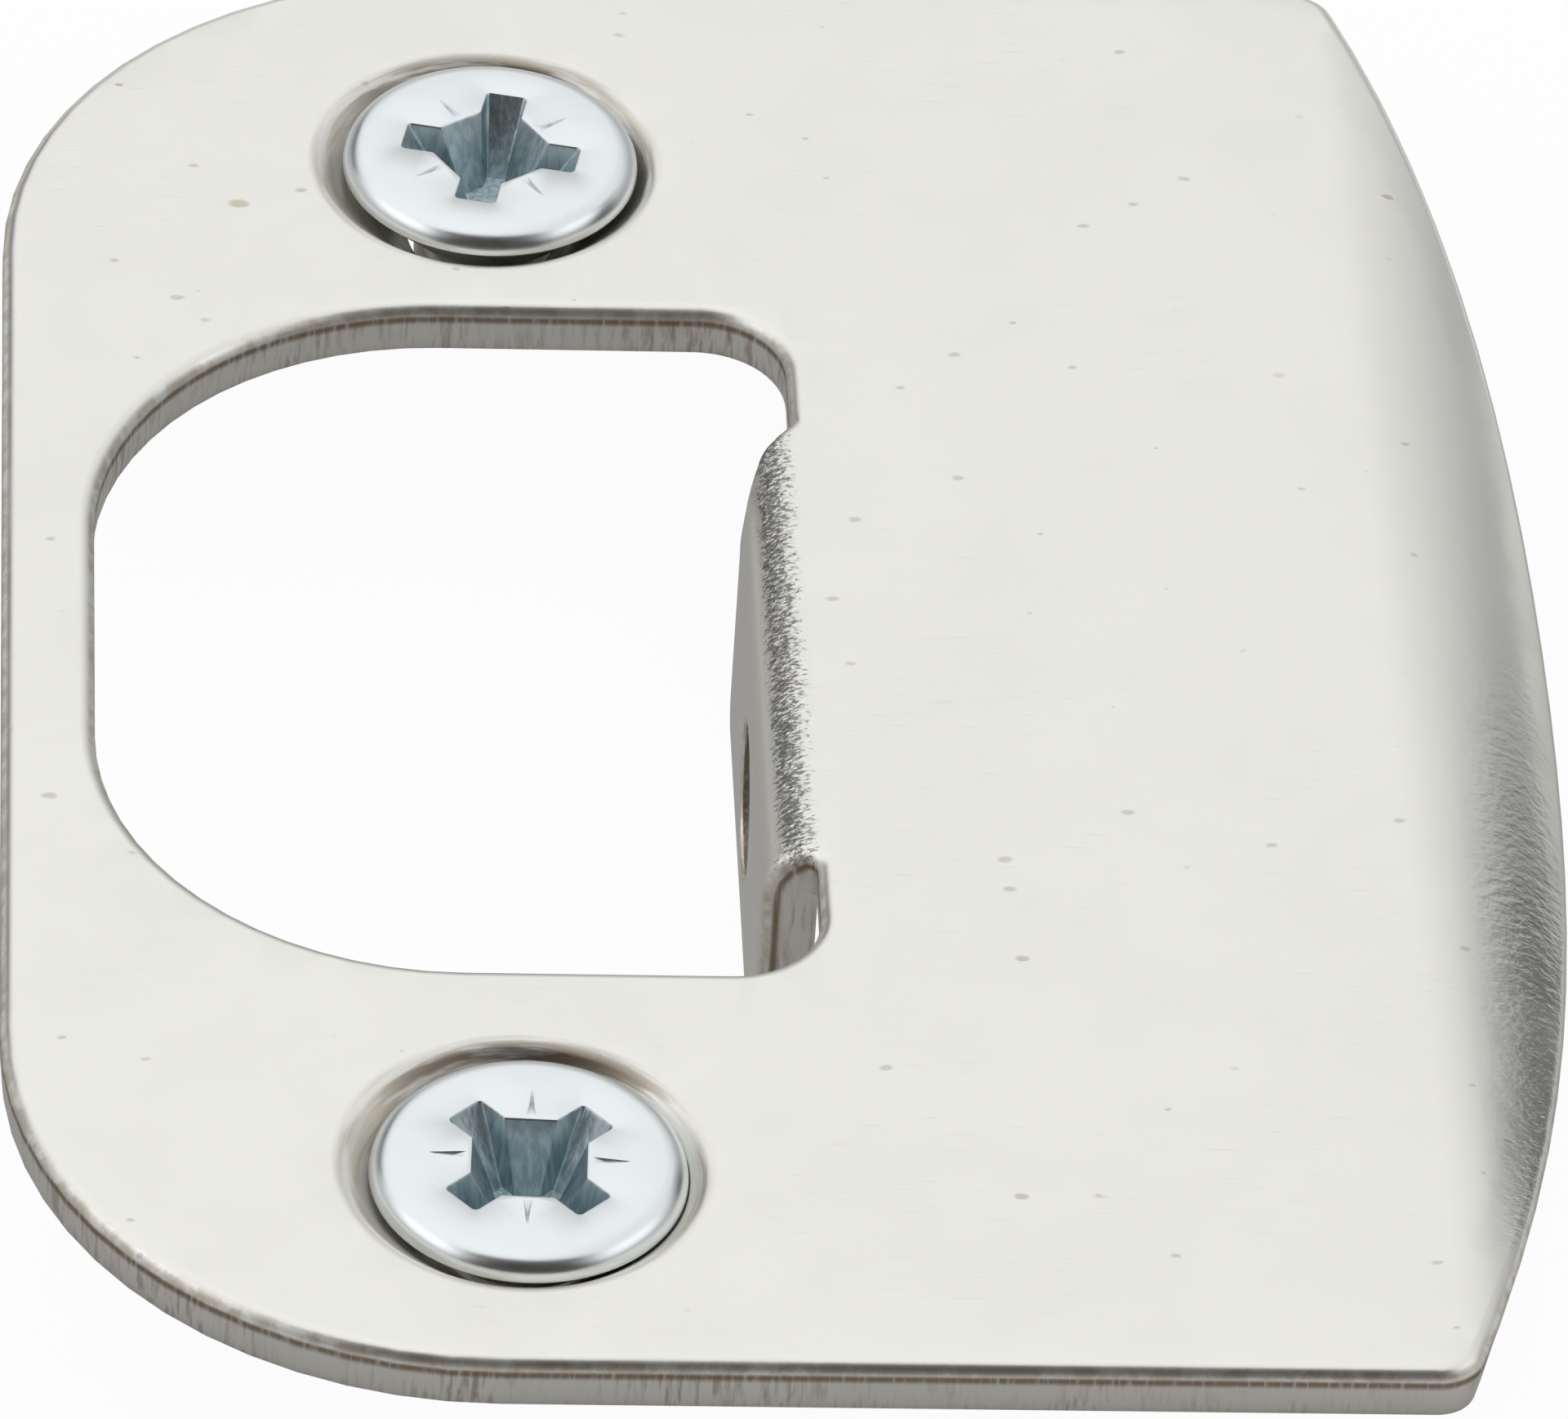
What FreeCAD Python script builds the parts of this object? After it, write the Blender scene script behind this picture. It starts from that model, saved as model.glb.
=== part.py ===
"""Door strike plate with a bent tab, a rolled lip and two countersunk screws in pressed dimples.

Frame: the origin is at the plate's mid-height, on the line of the screws and on the plate's back face.
+X runs from the round-cornered edge to the lip, +Y runs along the jamb, +Z points out of the jamb.
Lengths are in millimetres and angles in degrees.
"""
import FreeCAD, Part
import math
import os
import Sketcher

doc = FreeCAD.newDocument("strike_plate_set")

# Driving sizes

SIZES = (
    ("plate_height", 57.15, "plate along the jamb"),
    ("plate_thickness", 1.5, "sheet thickness"),
    ("plate_left", 13.35, "screw line to the round-cornered edge"),
    ("corner_radius", 12.5, "two round corners of the plate"),
    ("edge_roll", 0.42, "rounding that blanking leaves along the face's edges"),
    ("lip_start", 23.15, "screw line to the start of the lip's bend"),
    ("lip_radius", 6.2, "outer radius of the lip's bend"),
    ("lip_reach", 0.3, "sheet past the bend line at the lip's two corners"),
    ("lip_bulge", 4.55, "further sheet past the bend line at mid-height"),
    ("lip_corner_radius", 1.2, "rounding of the lip's two corners"),
    ("lip_trim", 6.0, "turn of the blank's lip beyond its finished edge, in degrees"),
    ("neutral_share", 0.45, "share of the sheet inside its unstretched layer in a bend"),
    ("opening_edge", 14.975, "opening's end to the plate's nearest short edge"),
    ("opening_left", 10.9, "screw line to the opening's round side"),
    ("opening_right", 7.8, "screw line to the opening's tab side"),
    ("opening_left_radius", 9.4, "two large corners of the opening"),
    ("opening_right_radius", 2.4, "two small corners of the opening, at the tab"),
    ("tab_notch", 4.7, "tab's root to the opening's end"),
    ("tab_set_back", 0.15, "start of the tab's bend beyond the opening's side"),
    ("tab_bend_radius", 0.05, "inner radius of the tab's bend"),
    ("tab_bend_angle", 90.0, "turn of the tab from the sheet"),
    ("tab_leg", 6.25, "straight length of the tab after its bend"),
    ("tab_shoulder", 3.15, "width that the tab loses at its upper end, below the root"),
    ("tab_shoulder_start", 0.05, "top of the sloping shoulder below the face"),
    ("tab_shoulder_drop", 1.4, "foot of the sloping shoulder below the face"),
    ("tab_shoulder_land", 0.1, "sheet left beside the shoulder, at the root"),
    ("tab_shoulder_radius", 0.8, "rounding of the shoulder's lower corner"),
    ("tab_corner_radius", 1.2, "rounding of the tab's two free corners"),
    ("tab_hole", 4.3, "diameter of the hole in the tab"),
    ("tab_hole_depth", 3.0, "back face to the middle of the tab's hole"),
    ("screw_edge", 7.9375, "screw axis to the plate's nearest short edge, for a pair at mid-height"),
    ("screw_drop", 0.5, "pair of screws below the plate's mid-height"),
    ("screw_diameter", 4.0, "outside of the screw's thread"),
    ("neck_diameter", 3.5, "plain neck between the head and the thread"),
    ("neck_length", 0.3, "straight length of the neck"),
    ("screw_length", 5.5, "top of the head to the tip"),
    ("head_diameter", 8.1, "screw head"),
    ("head_land", 0.62, "straight rim of the head, above its cone"),
    ("head_angle", 90.0, "included angle of the head's cone"),
    ("head_edge", 0.6, "width and depth of the head's shoulder, which is rounded in two steps"),
    ("tip_chamfer", 0.4, "chamfer at the screw's tip"),
    ("recess_span", 4.8, "cross recess over two wings, at the face"),
    ("recess_wing", 1.1, "width of a wing of the recess, at the face"),
    ("recess_core", 3.0, "recess between the wings, across its sloping corners' ends"),
    ("recess_foot", 0.5, "share of the recess left at its foot"),
    ("recess_depth", 2.0, "depth of the cross recess"),
    ("tick_start", 1.55, "screw axis to the inner end of a tick mark"),
    ("tick_end", 2.55, "screw axis to the point of a tick mark"),
    ("tick_width", 0.22, "tick mark at its inner end"),
    ("tick_depth", 0.08, "depth of a tick mark"),
    ("stand_upper", 0.45, "upper screw's head above the face"),
    ("stand_lower", 0.2, "lower screw's head above the face"),
    ("turn_upper", -12.0, "turn of the upper screw's recess"),
    ("turn_lower", 42.0, "turn of the lower screw's recess"),
    ("dimple_shift", 0.15, "dimple's middle to the screw, towards the round-cornered edge"),
    ("seat_clearance", 0.2, "radial room between the lower head's cone and its seat"),
    ("shank_clearance", 0.4, "radial room between the screw's shank and its hole"),
    ("dimple_rim", 0.6, "rounding of the dimple's rim"),
    ("dimple_depth", 1.1, "dimple's bulge behind the back face"),
    ("dimple_land", 0.75, "width of the bulge's flat ring, round the hole"),
    ("dimple_root", 0.5, "rounding between the bulge and the back face"),
)

sheet = doc.addObject("Spreadsheet::Sheet", "sizes")
for row, (alias, number, meaning) in enumerate(SIZES, start=1):
    sheet.set(f"A{row}", meaning)
    sheet.set(f"B{row}", str(number))
    sheet.setAlias(f"B{row}", alias)
doc.recompute()


class Measure:
    """A length or angle that knows its number and the spreadsheet expression behind it."""

    def __init__(self, number, text):
        self.number = number
        self.text = text

    def _joined(self, other, sign, number):
        text = other.text if isinstance(other, Measure) else repr(other)
        return Measure(number, f"({self.text} {sign} {text})")

    def __add__(self, other):
        return self._joined(other, "+", self.number + float(other))

    def __sub__(self, other):
        return self._joined(other, "-", self.number - float(other))

    def __mul__(self, other):
        return self._joined(other, "*", self.number * float(other))

    def __truediv__(self, other):
        return self._joined(other, "/", self.number / float(other))

    def __neg__(self):
        return Measure(-self.number, f"(-1 * {self.text})")

    def __float__(self):
        return self.number


def size(alias):
    """The named cell of the spreadsheet."""
    return Measure(float(sheet.get(alias)), f"sizes.{alias}")


def sine(angle):
    return Measure(math.sin(math.radians(float(angle))), f"sin({angle.text})")


def cosine(angle):
    return Measure(math.cos(math.radians(float(angle))), f"cos({angle.text})")


def tangent(angle):
    return Measure(math.tan(math.radians(float(angle))), f"tan({angle.text})")


ZERO = Measure(0.0, "0")
DIAGONAL = Measure(math.sqrt(0.5), "sqrt(0.5)")
HALF_ROUND = Measure(1 - math.sqrt(0.5), "(1 - sqrt(0.5))")
HALF_HEIGHT = size("plate_height") / 2
THICKNESS = size("plate_thickness")
HALF_SPACING = HALF_HEIGHT - size("screw_edge")
HALF_OPENING = HALF_HEIGHT - size("opening_edge")
CONE = size("head_angle") / 2
HEAD_RADIUS = size("head_diameter") / 2
SHANK_RADIUS = size("screw_diameter") / 2
NECK_RADIUS = size("neck_diameter") / 2
HOLE_RADIUS = SHANK_RADIUS + size("shank_clearance")
TOLERANCE = 0.01
FULL_TURN = 360.0
HALF_TURN = 180.0
SCREWS = 2
TICKS = 4
LIP_STATIONS = 7


# Helpers for bodies, sketches and features

def new_body(label):
    body = doc.addObject("PartDesign::Body", label)
    body.Label = label
    return body


def origin_feature(body, role):
    return next(item for item in body.Origin.OriginFeatures if item.Role == role)


def new_sketch(body, name, role, offset=None):
    """A sketch on one of the body's own origin planes, moved along its normal by an offset."""
    sketch = body.newObject("Sketcher::SketchObject", name)
    sketch.AttachmentSupport = [(origin_feature(body, role), "")]
    sketch.MapMode = "FlatFace"
    if offset is not None:
        sketch.setExpression("AttachmentOffset.Base.z", offset.text)
    return sketch


def pin_point(sketch, edge, end, point):
    """Hold one end of an edge at its distances from the sketch's origin."""
    for direction, measure in zip(("DistanceX", "DistanceY"), point):
        if measure is ZERO:
            axis = -2 if direction == "DistanceX" else -1
            sketch.addConstraint(Sketcher.Constraint("PointOnObject", edge, end, axis))
            continue
        distance = Sketcher.Constraint(direction, -1, 1, edge, end, float(measure))
        index = sketch.addConstraint(distance)
        sketch.setExpression(f"Constraints[{index}]", measure.text)


def hold_radius(sketch, edge, radius):
    index = sketch.addConstraint(Sketcher.Constraint("Radius", edge, float(radius)))
    sketch.setExpression(f"Constraints[{index}]", radius.text)


def vector(point):
    return FreeCAD.Vector(float(point[0]), float(point[1]), 0)


def add_outline(sketch, points, arcs=None):
    """Close an outline through its points, with straight edges and the arcs that are named.

    arcs: edge number to (centre, radius, True if the arc turns anticlockwise).
    """
    arcs = arcs or {}
    count = len(points)
    first = sketch.GeometryCount
    for number, point in enumerate(points):
        start = vector(point)
        end = vector(points[(number + 1) % count])
        if number not in arcs:
            sketch.addGeometry(Part.LineSegment(start, end))
            continue
        centre, radius, anticlockwise = arcs[number]
        middle = vector(centre)
        angles = [math.atan2(p.y - middle.y, p.x - middle.x) for p in (start, end)]
        if not anticlockwise:
            angles.reverse()
        circle = Part.Circle(middle, FreeCAD.Vector(0, 0, 1), float(radius))
        sketch.addGeometry(Part.ArcOfCircle(circle, *angles))
    for number, point in enumerate(points):
        edge = first + number
        before = first + (number - 1) % count
        begin = 2 if number in arcs and not arcs[number][2] else 1
        previous = (number - 1) % count
        finish = 1 if previous in arcs and not arcs[previous][2] else 2
        sketch.addConstraint(Sketcher.Constraint("Coincident", before, finish, edge, begin))
        pin_point(sketch, edge, begin, point)
    for number, (_, radius, _) in arcs.items():
        hold_radius(sketch, first + number, radius)


def pad(body, sketch, length, name):
    """Extrude a sketch equally to both sides of its plane."""
    feature = body.newObject("PartDesign::Pad", name)
    feature.Profile = sketch
    feature.SideType = "Symmetric"
    feature.setExpression("Length", length.text)
    doc.recompute()
    return feature


def turned(body, kind, sketch, name):
    """Revolve a sketch about its one construction line: a Revolution adds, a Groove cuts."""
    feature = body.newObject(f"PartDesign::{kind}", name)
    feature.Profile = sketch
    feature.ReferenceAxis = (sketch, ["Axis0"])
    feature.Angle = FULL_TURN
    doc.recompute()
    return feature


def round_edges(body, name, radius, wanted):
    """Fillet the edges of the body's present shape that answer to a test."""
    base = body.Tip
    edges = [f"Edge{i}" for i, edge in enumerate(base.Shape.Edges, start=1) if wanted(edge)]
    feature = body.newObject("PartDesign::Fillet", name)
    feature.Base = (base, edges)
    feature.setExpression("Radius", radius.text)
    doc.recompute()
    return feature


def near(first, second):
    return abs(float(first) - float(second)) < TOLERANCE


def stands_upright(edge):
    """True for a straight edge across the sheet's flat part."""
    box = edge.BoundBox
    return near(box.ZLength, THICKNESS) and near(box.XLength, 0) and near(box.YLength, 0)


# The plate: blank, lip, opening, tab and dimples

LIP_INNER = size("lip_radius") - THICKNESS
LIP_NEUTRAL = LIP_INNER + THICKNESS * size("neutral_share")
LIP_AXIS_Z = THICKNESS - size("lip_radius")
LIP_TURN = (size("lip_reach") + size("lip_bulge")) / LIP_NEUTRAL * (HALF_TURN / math.pi)
LIP_BLANK_TURN = LIP_TURN + size("lip_trim")


def blank(body):
    """The bent blank, with straight long edges: a flat strip that rolls over into the lip."""
    end_sine = sine(LIP_BLANK_TURN)
    end_cosine = cosine(LIP_BLANK_TURN)
    centre = (size("lip_start"), LIP_AXIS_Z)
    points = (
        (-size("plate_left"), ZERO),
        (size("lip_start"), ZERO),
        (size("lip_start") + LIP_INNER * end_sine, LIP_AXIS_Z + LIP_INNER * end_cosine),
        (size("lip_start") + size("lip_radius") * end_sine,
         LIP_AXIS_Z + size("lip_radius") * end_cosine),
        (size("lip_start"), THICKNESS),
        (-size("plate_left"), THICKNESS),
    )
    sketch = new_sketch(body, "plate_section", "XZ_Plane")
    add_outline(sketch, points, {1: (centre, LIP_INNER, False), 3: (centre, size("lip_radius"), True)})
    pad(body, sketch, size("plate_height"), "plate_blank")
    round_edges(body, "plate_corners", size("corner_radius"),
                lambda edge: stands_upright(edge) and near(edge.BoundBox.XMin, -size("plate_left")))


def lip_waste(body_label):
    """What the blanking die takes off beyond the lip's curved edge.

    On the flat blank that edge is one arc, from corner to corner. Bent with the sheet, it becomes
    a face whose rulings all point at the bend's axis, so the waste is that face swept on round the axis.
    """
    half = float(HALF_HEIGHT)
    bulge = float(size("lip_bulge"))
    reach = float(size("lip_reach"))
    arc_radius = (half * half + bulge * bulge) / (2 * bulge)
    margin = float(THICKNESS) / 2
    axis_x = float(size("lip_start"))
    axis_z = float(LIP_AXIS_Z)

    def edge_curve(radius):
        points = []
        for station in range(LIP_STATIONS):
            y = (2 * station / (LIP_STATIONS - 1) - 1) * (half + margin)
            sheet_length = reach + bulge - arc_radius + math.sqrt(arc_radius ** 2 - y * y)
            angle = sheet_length / float(LIP_NEUTRAL)
            points.append(FreeCAD.Vector(axis_x + radius * math.sin(angle), y,
                                         axis_z + radius * math.cos(angle)))
        curve = Part.BSplineCurve()
        curve.interpolate(points)
        return curve.toShape()

    face = Part.makeRuledSurface(edge_curve(float(LIP_INNER) - margin),
                                 edge_curve(float(size("lip_radius")) + margin))
    swept = face.revolve(FreeCAD.Vector(axis_x, 0, axis_z), FreeCAD.Vector(0, 1, 0), HALF_TURN / 2)
    waste = doc.addObject("Part::Feature", "lip_waste")
    waste.Shape = Part.Solid(swept) if swept.ShapeType == "Shell" else swept
    tool = doc.addObject("PartDesign::Body", body_label)
    tool.BaseFeature = waste
    doc.recompute()
    return tool


def lip_edge(body):
    cut = body.newObject("PartDesign::Boolean", "lip_trim")
    cut.Type = "Cut"
    cut.setObjects([lip_waste("lip_tool")])
    doc.recompute()

    def lip_corner(edge):
        box = edge.BoundBox
        on_long_side = near(abs(box.YMin), HALF_HEIGHT) and near(box.YLength, 0)
        on_lip = box.XMin > float(size("lip_start")) - TOLERANCE
        return on_long_side and on_lip and near(edge.Length, THICKNESS)

    round_edges(body, "lip_corners", size("lip_corner_radius"), lip_corner)


def opening(body):
    """The latch opening, with two large corners and two small ones."""
    points = (
        (-size("opening_left"), -HALF_OPENING),
        (size("opening_right"), -HALF_OPENING),
        (size("opening_right"), HALF_OPENING),
        (-size("opening_left"), HALF_OPENING),
    )
    sketch = new_sketch(body, "opening_outline", "XY_Plane")
    add_outline(sketch, points)
    cut = body.newObject("PartDesign::Pocket", "latch_opening")
    cut.Profile = sketch
    cut.Reversed = True
    cut.setExpression("Length", THICKNESS.text)
    doc.recompute()
    for name, x in (("left", -size("opening_left")), ("right", size("opening_right"))):
        round_edges(body, f"opening_{name}_corners", size(f"opening_{name}_radius"),
                    lambda edge, x=x: stands_upright(edge) and near(edge.BoundBox.XMin, x))


def rolled_edges(body):
    """Round the face's edges, where the die drew the sheet down: outline, lip and opening."""
    shape = body.Tip.Shape

    def on_face(face):
        if face.Surface.TypeId == "Part::GeomPlane":
            return near(face.BoundBox.ZMin, THICKNESS) and near(face.BoundBox.ZLength, 0)
        return near(getattr(face.Surface, "Radius", 0), size("lip_radius"))

    faces = [face for face in shape.Faces if on_face(face)]

    def borders_face(edge):
        return sum(1 for face in faces for other in face.Edges if other.isSame(edge)) == 1

    round_edges(body, "edge_roll", size("edge_roll"), borders_face)


def tab(body):
    """The tab bent back from the opening's side, with its hole."""
    outer = size("tab_bend_radius") + THICKNESS
    inner = size("tab_bend_radius")
    start = size("opening_right") + size("tab_set_back")
    root = start + THICKNESS
    centre = (start, -inner)
    bend_sine = sine(size("tab_bend_angle"))
    bend_cosine = cosine(size("tab_bend_angle"))
    leg_x = -bend_cosine * size("tab_leg")
    leg_z = -bend_sine * size("tab_leg")
    outer_end = (start - outer * bend_sine, outer * bend_cosine - inner)
    inner_end = (start - inner * bend_sine, inner * bend_cosine - inner)
    points = (
        (root, ZERO),
        (root, THICKNESS),
        (start, THICKNESS),
        outer_end,
        (outer_end[0] + leg_x, outer_end[1] + leg_z),
        (inner_end[0] + leg_x, inner_end[1] + leg_z),
        inner_end,
        (start, ZERO),
    )
    sketch = new_sketch(body, "tab_section", "XZ_Plane")
    add_outline(sketch, points, {2: (centre, outer, True), 6: (centre, inner, False)})
    end = HALF_OPENING - size("tab_notch")
    pad(body, sketch, end * 2, "bent_tab")
    foot = points[4][1]
    inner_y = end - size("tab_shoulder")
    shoulder_top = THICKNESS - size("tab_shoulder_start")
    shoulder_foot = THICKNESS - size("tab_shoulder_drop")
    sketch = new_sketch(body, "tab_shoulder_outline", "YZ_Plane")
    add_outline(sketch, (
        (end, shoulder_top),
        (inner_y, shoulder_foot),
        (inner_y, foot - THICKNESS),
        (end + THICKNESS, foot - THICKNESS),
        (end + THICKNESS, shoulder_top),
    ))
    cut = body.newObject("PartDesign::Pocket", "tab_shoulder_cut")
    cut.Profile = sketch
    cut.Reversed = True
    cut.setExpression("Length", (size("opening_right") - size("tab_shoulder_land")).text)
    doc.recompute()

    def free_corner(edge):
        box = edge.BoundBox
        across = near(edge.Length, THICKNESS) and near(box.YLength, 0)
        return across and box.ZMin < float(foot) + float(THICKNESS) / 2

    def shoulder_corner(edge):
        box = edge.BoundBox
        along_x = near(box.YLength, 0) and near(box.ZLength, 0)
        return along_x and near(box.YMin, inner_y) and near(box.ZMin, shoulder_foot)

    round_edges(body, "tab_corners", size("tab_corner_radius"), free_corner)
    round_edges(body, "tab_shoulder_corner", size("tab_shoulder_radius"), shoulder_corner)
    sketch = new_sketch(body, "tab_hole_outline", "YZ_Plane")
    middle = (-size("tab_shoulder") / 2, -size("tab_hole_depth"))
    sketch.addGeometry(Part.Circle(vector(middle), FreeCAD.Vector(0, 0, 1), float(size("tab_hole")) / 2))
    pin_point(sketch, 0, 3, middle)
    hold_radius(sketch, 0, size("tab_hole") / 2)
    hole = body.newObject("PartDesign::Pocket", "tab_fixing_hole")
    hole.Profile = sketch
    hole.Reversed = True
    hole.setExpression("Length", root.text)
    doc.recompute()


def dimples(body):
    """Two pressed screw seats: a bulge behind the sheet, a cone for the head and a hole for the shank."""
    middle = -HALF_SPACING - size("screw_drop")
    bulge_foot = HOLE_RADIUS + size("dimple_land")
    bulge_root = bulge_foot + size("dimple_depth") * tangent(CONE)
    cone_depth = (HEAD_RADIUS - SHANK_RADIUS) / tangent(CONE)
    head_foot = THICKNESS + size("stand_lower") - size("head_land") - cone_depth
    mouth = SHANK_RADIUS + size("seat_clearance") + (THICKNESS - head_foot) * tangent(CONE)
    throat_z = THICKNESS - (mouth - HOLE_RADIUS) / tangent(CONE)
    depth = -size("dimple_depth")
    profiles = (
        ("Revolution", "dimple_bulge", (
            (middle, THICKNESS / 2),
            (middle, depth),
            (middle + bulge_foot, depth),
            (middle + bulge_root, ZERO),
            (middle + bulge_root, THICKNESS / 2),
        )),
        ("Groove", "dimple_seat", (
            (middle, THICKNESS),
            (middle, depth),
            (middle + HOLE_RADIUS, depth),
            (middle + HOLE_RADIUS, throat_z),
            (middle + mouth, THICKNESS),
        )),
    )
    made = []
    for kind, name, points in profiles:
        sketch = new_sketch(body, f"{name}_section", "YZ_Plane", -size("dimple_shift"))
        add_outline(sketch, points)
        axis = Part.LineSegment(vector(points[0]), vector(points[1]))
        line = sketch.addGeometry(axis, True)
        for end in (1, 2):
            pin_point(sketch, line, end, points[end - 1])
        made.append(turned(body, kind, sketch, name))
    pair = body.newObject("PartDesign::LinearPattern", "second_dimple")
    pair.Originals = made
    pair.Direction = (origin_feature(body, "Y_Axis"), [""])
    pair.setExpression("Length", (HALF_SPACING * 2).text)
    pair.Occurrences = SCREWS
    body.Tip = pair
    doc.recompute()

    def circle_at(height, radius):
        def wanted(edge):
            round_edge = edge.Curve.TypeId == "Part::GeomCircle" and near(edge.Curve.Radius, radius)
            return round_edge and near(edge.BoundBox.ZMin, height) and near(edge.BoundBox.ZLength, 0)
        return wanted

    round_edges(body, "dimple_rims", size("dimple_rim"), circle_at(THICKNESS, mouth))
    round_edges(body, "dimple_roots", size("dimple_root"), circle_at(0, bulge_root))


def strike_plate():
    body = new_body("strike_plate")
    blank(body)
    lip_edge(body)
    opening(body)
    rolled_edges(body)
    tab(body)
    dimples(body)
    return body


# The screws: a turned blank with a cross recess

def screw_blank(body):
    head_foot = -(size("head_land") + (HEAD_RADIUS - NECK_RADIUS) / tangent(CONE))
    neck_end = head_foot - size("neck_length")
    run_out = SHANK_RADIUS - NECK_RADIUS
    chamfer = size("tip_chamfer")
    points = (
        (ZERO, ZERO),
        (ZERO, -size("screw_length")),
        (SHANK_RADIUS - chamfer, -size("screw_length")),
        (SHANK_RADIUS, chamfer - size("screw_length")),
        (SHANK_RADIUS, neck_end - run_out),
        (NECK_RADIUS, neck_end),
        (NECK_RADIUS, head_foot),
        (HEAD_RADIUS, -size("head_land")),
        (HEAD_RADIUS, -size("head_edge")),
        (HEAD_RADIUS - size("head_edge") * HALF_ROUND, -size("head_edge") * HALF_ROUND),
        (HEAD_RADIUS - size("head_edge"), ZERO),
    )
    sketch = new_sketch(body, f"{body.Label}_section", "XZ_Plane")
    add_outline(sketch, points)
    line = sketch.addGeometry(Part.LineSegment(vector(points[0]), vector(points[1])), True)
    for end in (1, 2):
        pin_point(sketch, line, end, points[end - 1])
    turned(body, "Revolution", sketch, f"{body.Label}_blank")


def cross(share):
    """The recess's outline: four wings, with sloping corners between them."""
    wing = size("recess_wing") / 2 * share
    end = size("recess_span") / 2 * share
    core = size("recess_core") / 2 * share
    quarter = ((end, wing), (core, wing), (wing, core), (wing, end))
    second = tuple((-x, y) for x, y in reversed(quarter))
    upper = quarter + second
    return upper + tuple((x, -y) for x, y in reversed(upper))


def recess(body):
    foot = size("recess_foot")
    outlines = []
    for name, share, offset in (("mouth", ZERO + 1, None), ("foot", foot, -size("recess_depth"))):
        sketch = new_sketch(body, f"{body.Label}_recess_{name}", "XY_Plane", offset)
        add_outline(sketch, cross(share))
        outlines.append(sketch)
    doc.recompute()
    cut = body.newObject("PartDesign::SubtractiveLoft", f"{body.Label}_recess")
    cut.Profile = outlines[0]
    cut.Sections = outlines[1:]
    cut.Ruled = True
    doc.recompute()


def ticks(body):
    """Four shallow marks between the wings, each narrowing to a point."""
    inner = size("tick_start") * DIAGONAL
    outer = size("tick_end") * DIAGONAL
    half = size("tick_width") / 2 * DIAGONAL
    points = ((inner + half, inner - half), (outer, outer), (inner - half, inner + half))
    sketch = new_sketch(body, f"{body.Label}_tick_outline", "XY_Plane")
    add_outline(sketch, points)
    cut = body.newObject("PartDesign::Pocket", f"{body.Label}_tick")
    cut.Profile = sketch
    cut.setExpression("Length", "sizes.tick_depth")
    doc.recompute()
    ring = body.newObject("PartDesign::PolarPattern", f"{body.Label}_ticks")
    ring.Originals = [cut]
    ring.Axis = (origin_feature(body, "Z_Axis"), [""])
    ring.Angle = FULL_TURN
    ring.Occurrences = TICKS
    body.Tip = ring
    doc.recompute()


def fixing_screw(which, side):
    """One screw, standing in its dimple."""
    body = new_body(f"{which}_screw")
    screw_blank(body)
    recess(body)
    ticks(body)
    height = THICKNESS + size(f"stand_{which}")
    body.setExpression("Placement.Base.y", (HALF_SPACING * side - size("screw_drop")).text)
    body.setExpression("Placement.Base.z", height.text)
    body.setExpression("Placement.Rotation.Angle", f"sizes.turn_{which}")
    doc.recompute()
    return body


def fixing_screws():
    group = doc.addObject("Part::Compound", "fixing_screws")
    group.Label = "fixing_screws"
    group.Links = [fixing_screw("upper", 1), fixing_screw("lower", -1)]
    return group


# Build, check and write

subparts = [strike_plate(), fixing_screws()]
doc.recompute()

for item in doc.Objects:
    if "Invalid" in item.State or "Error" in item.State:
        raise RuntimeError(f"{item.Label} failed: {item.State}")
for part in subparts:
    if part.Shape.isNull() or not part.Shape.isValid():
        raise RuntimeError(f"{part.Label} is not a valid shape")

os.makedirs("parts", exist_ok=True)
for part in subparts:
    part.Shape.exportStep(f"parts/{part.Label}.step")
    solids = len(part.Shape.Solids)
    print(f"{part.Label}: {solids} solids, {part.Shape.Volume:.1f} cubic mm, box {part.Shape.BoundBox}")
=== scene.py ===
# %% [markdown]
# # A door strike plate with its two screws
#
# A strike plate is the metal plate on a door frame that the latch slides over and drops into. This one is
# pressed from sheet steel and plated with nickel. The CAD model holds its construction. This script gives
# it the finish of the real thing: it builds finer meshes over the same sizes, plates them, and sets up the
# light and the camera. The first step loads the CAD model as a frame that never moves.

# %% Load the CAD model
import math

import bmesh
import bpy
from mathutils import Matrix, Vector
from mathutils.geometry import delaunay_2d_cdt
from mathutils.kdtree import KDTree


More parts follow.
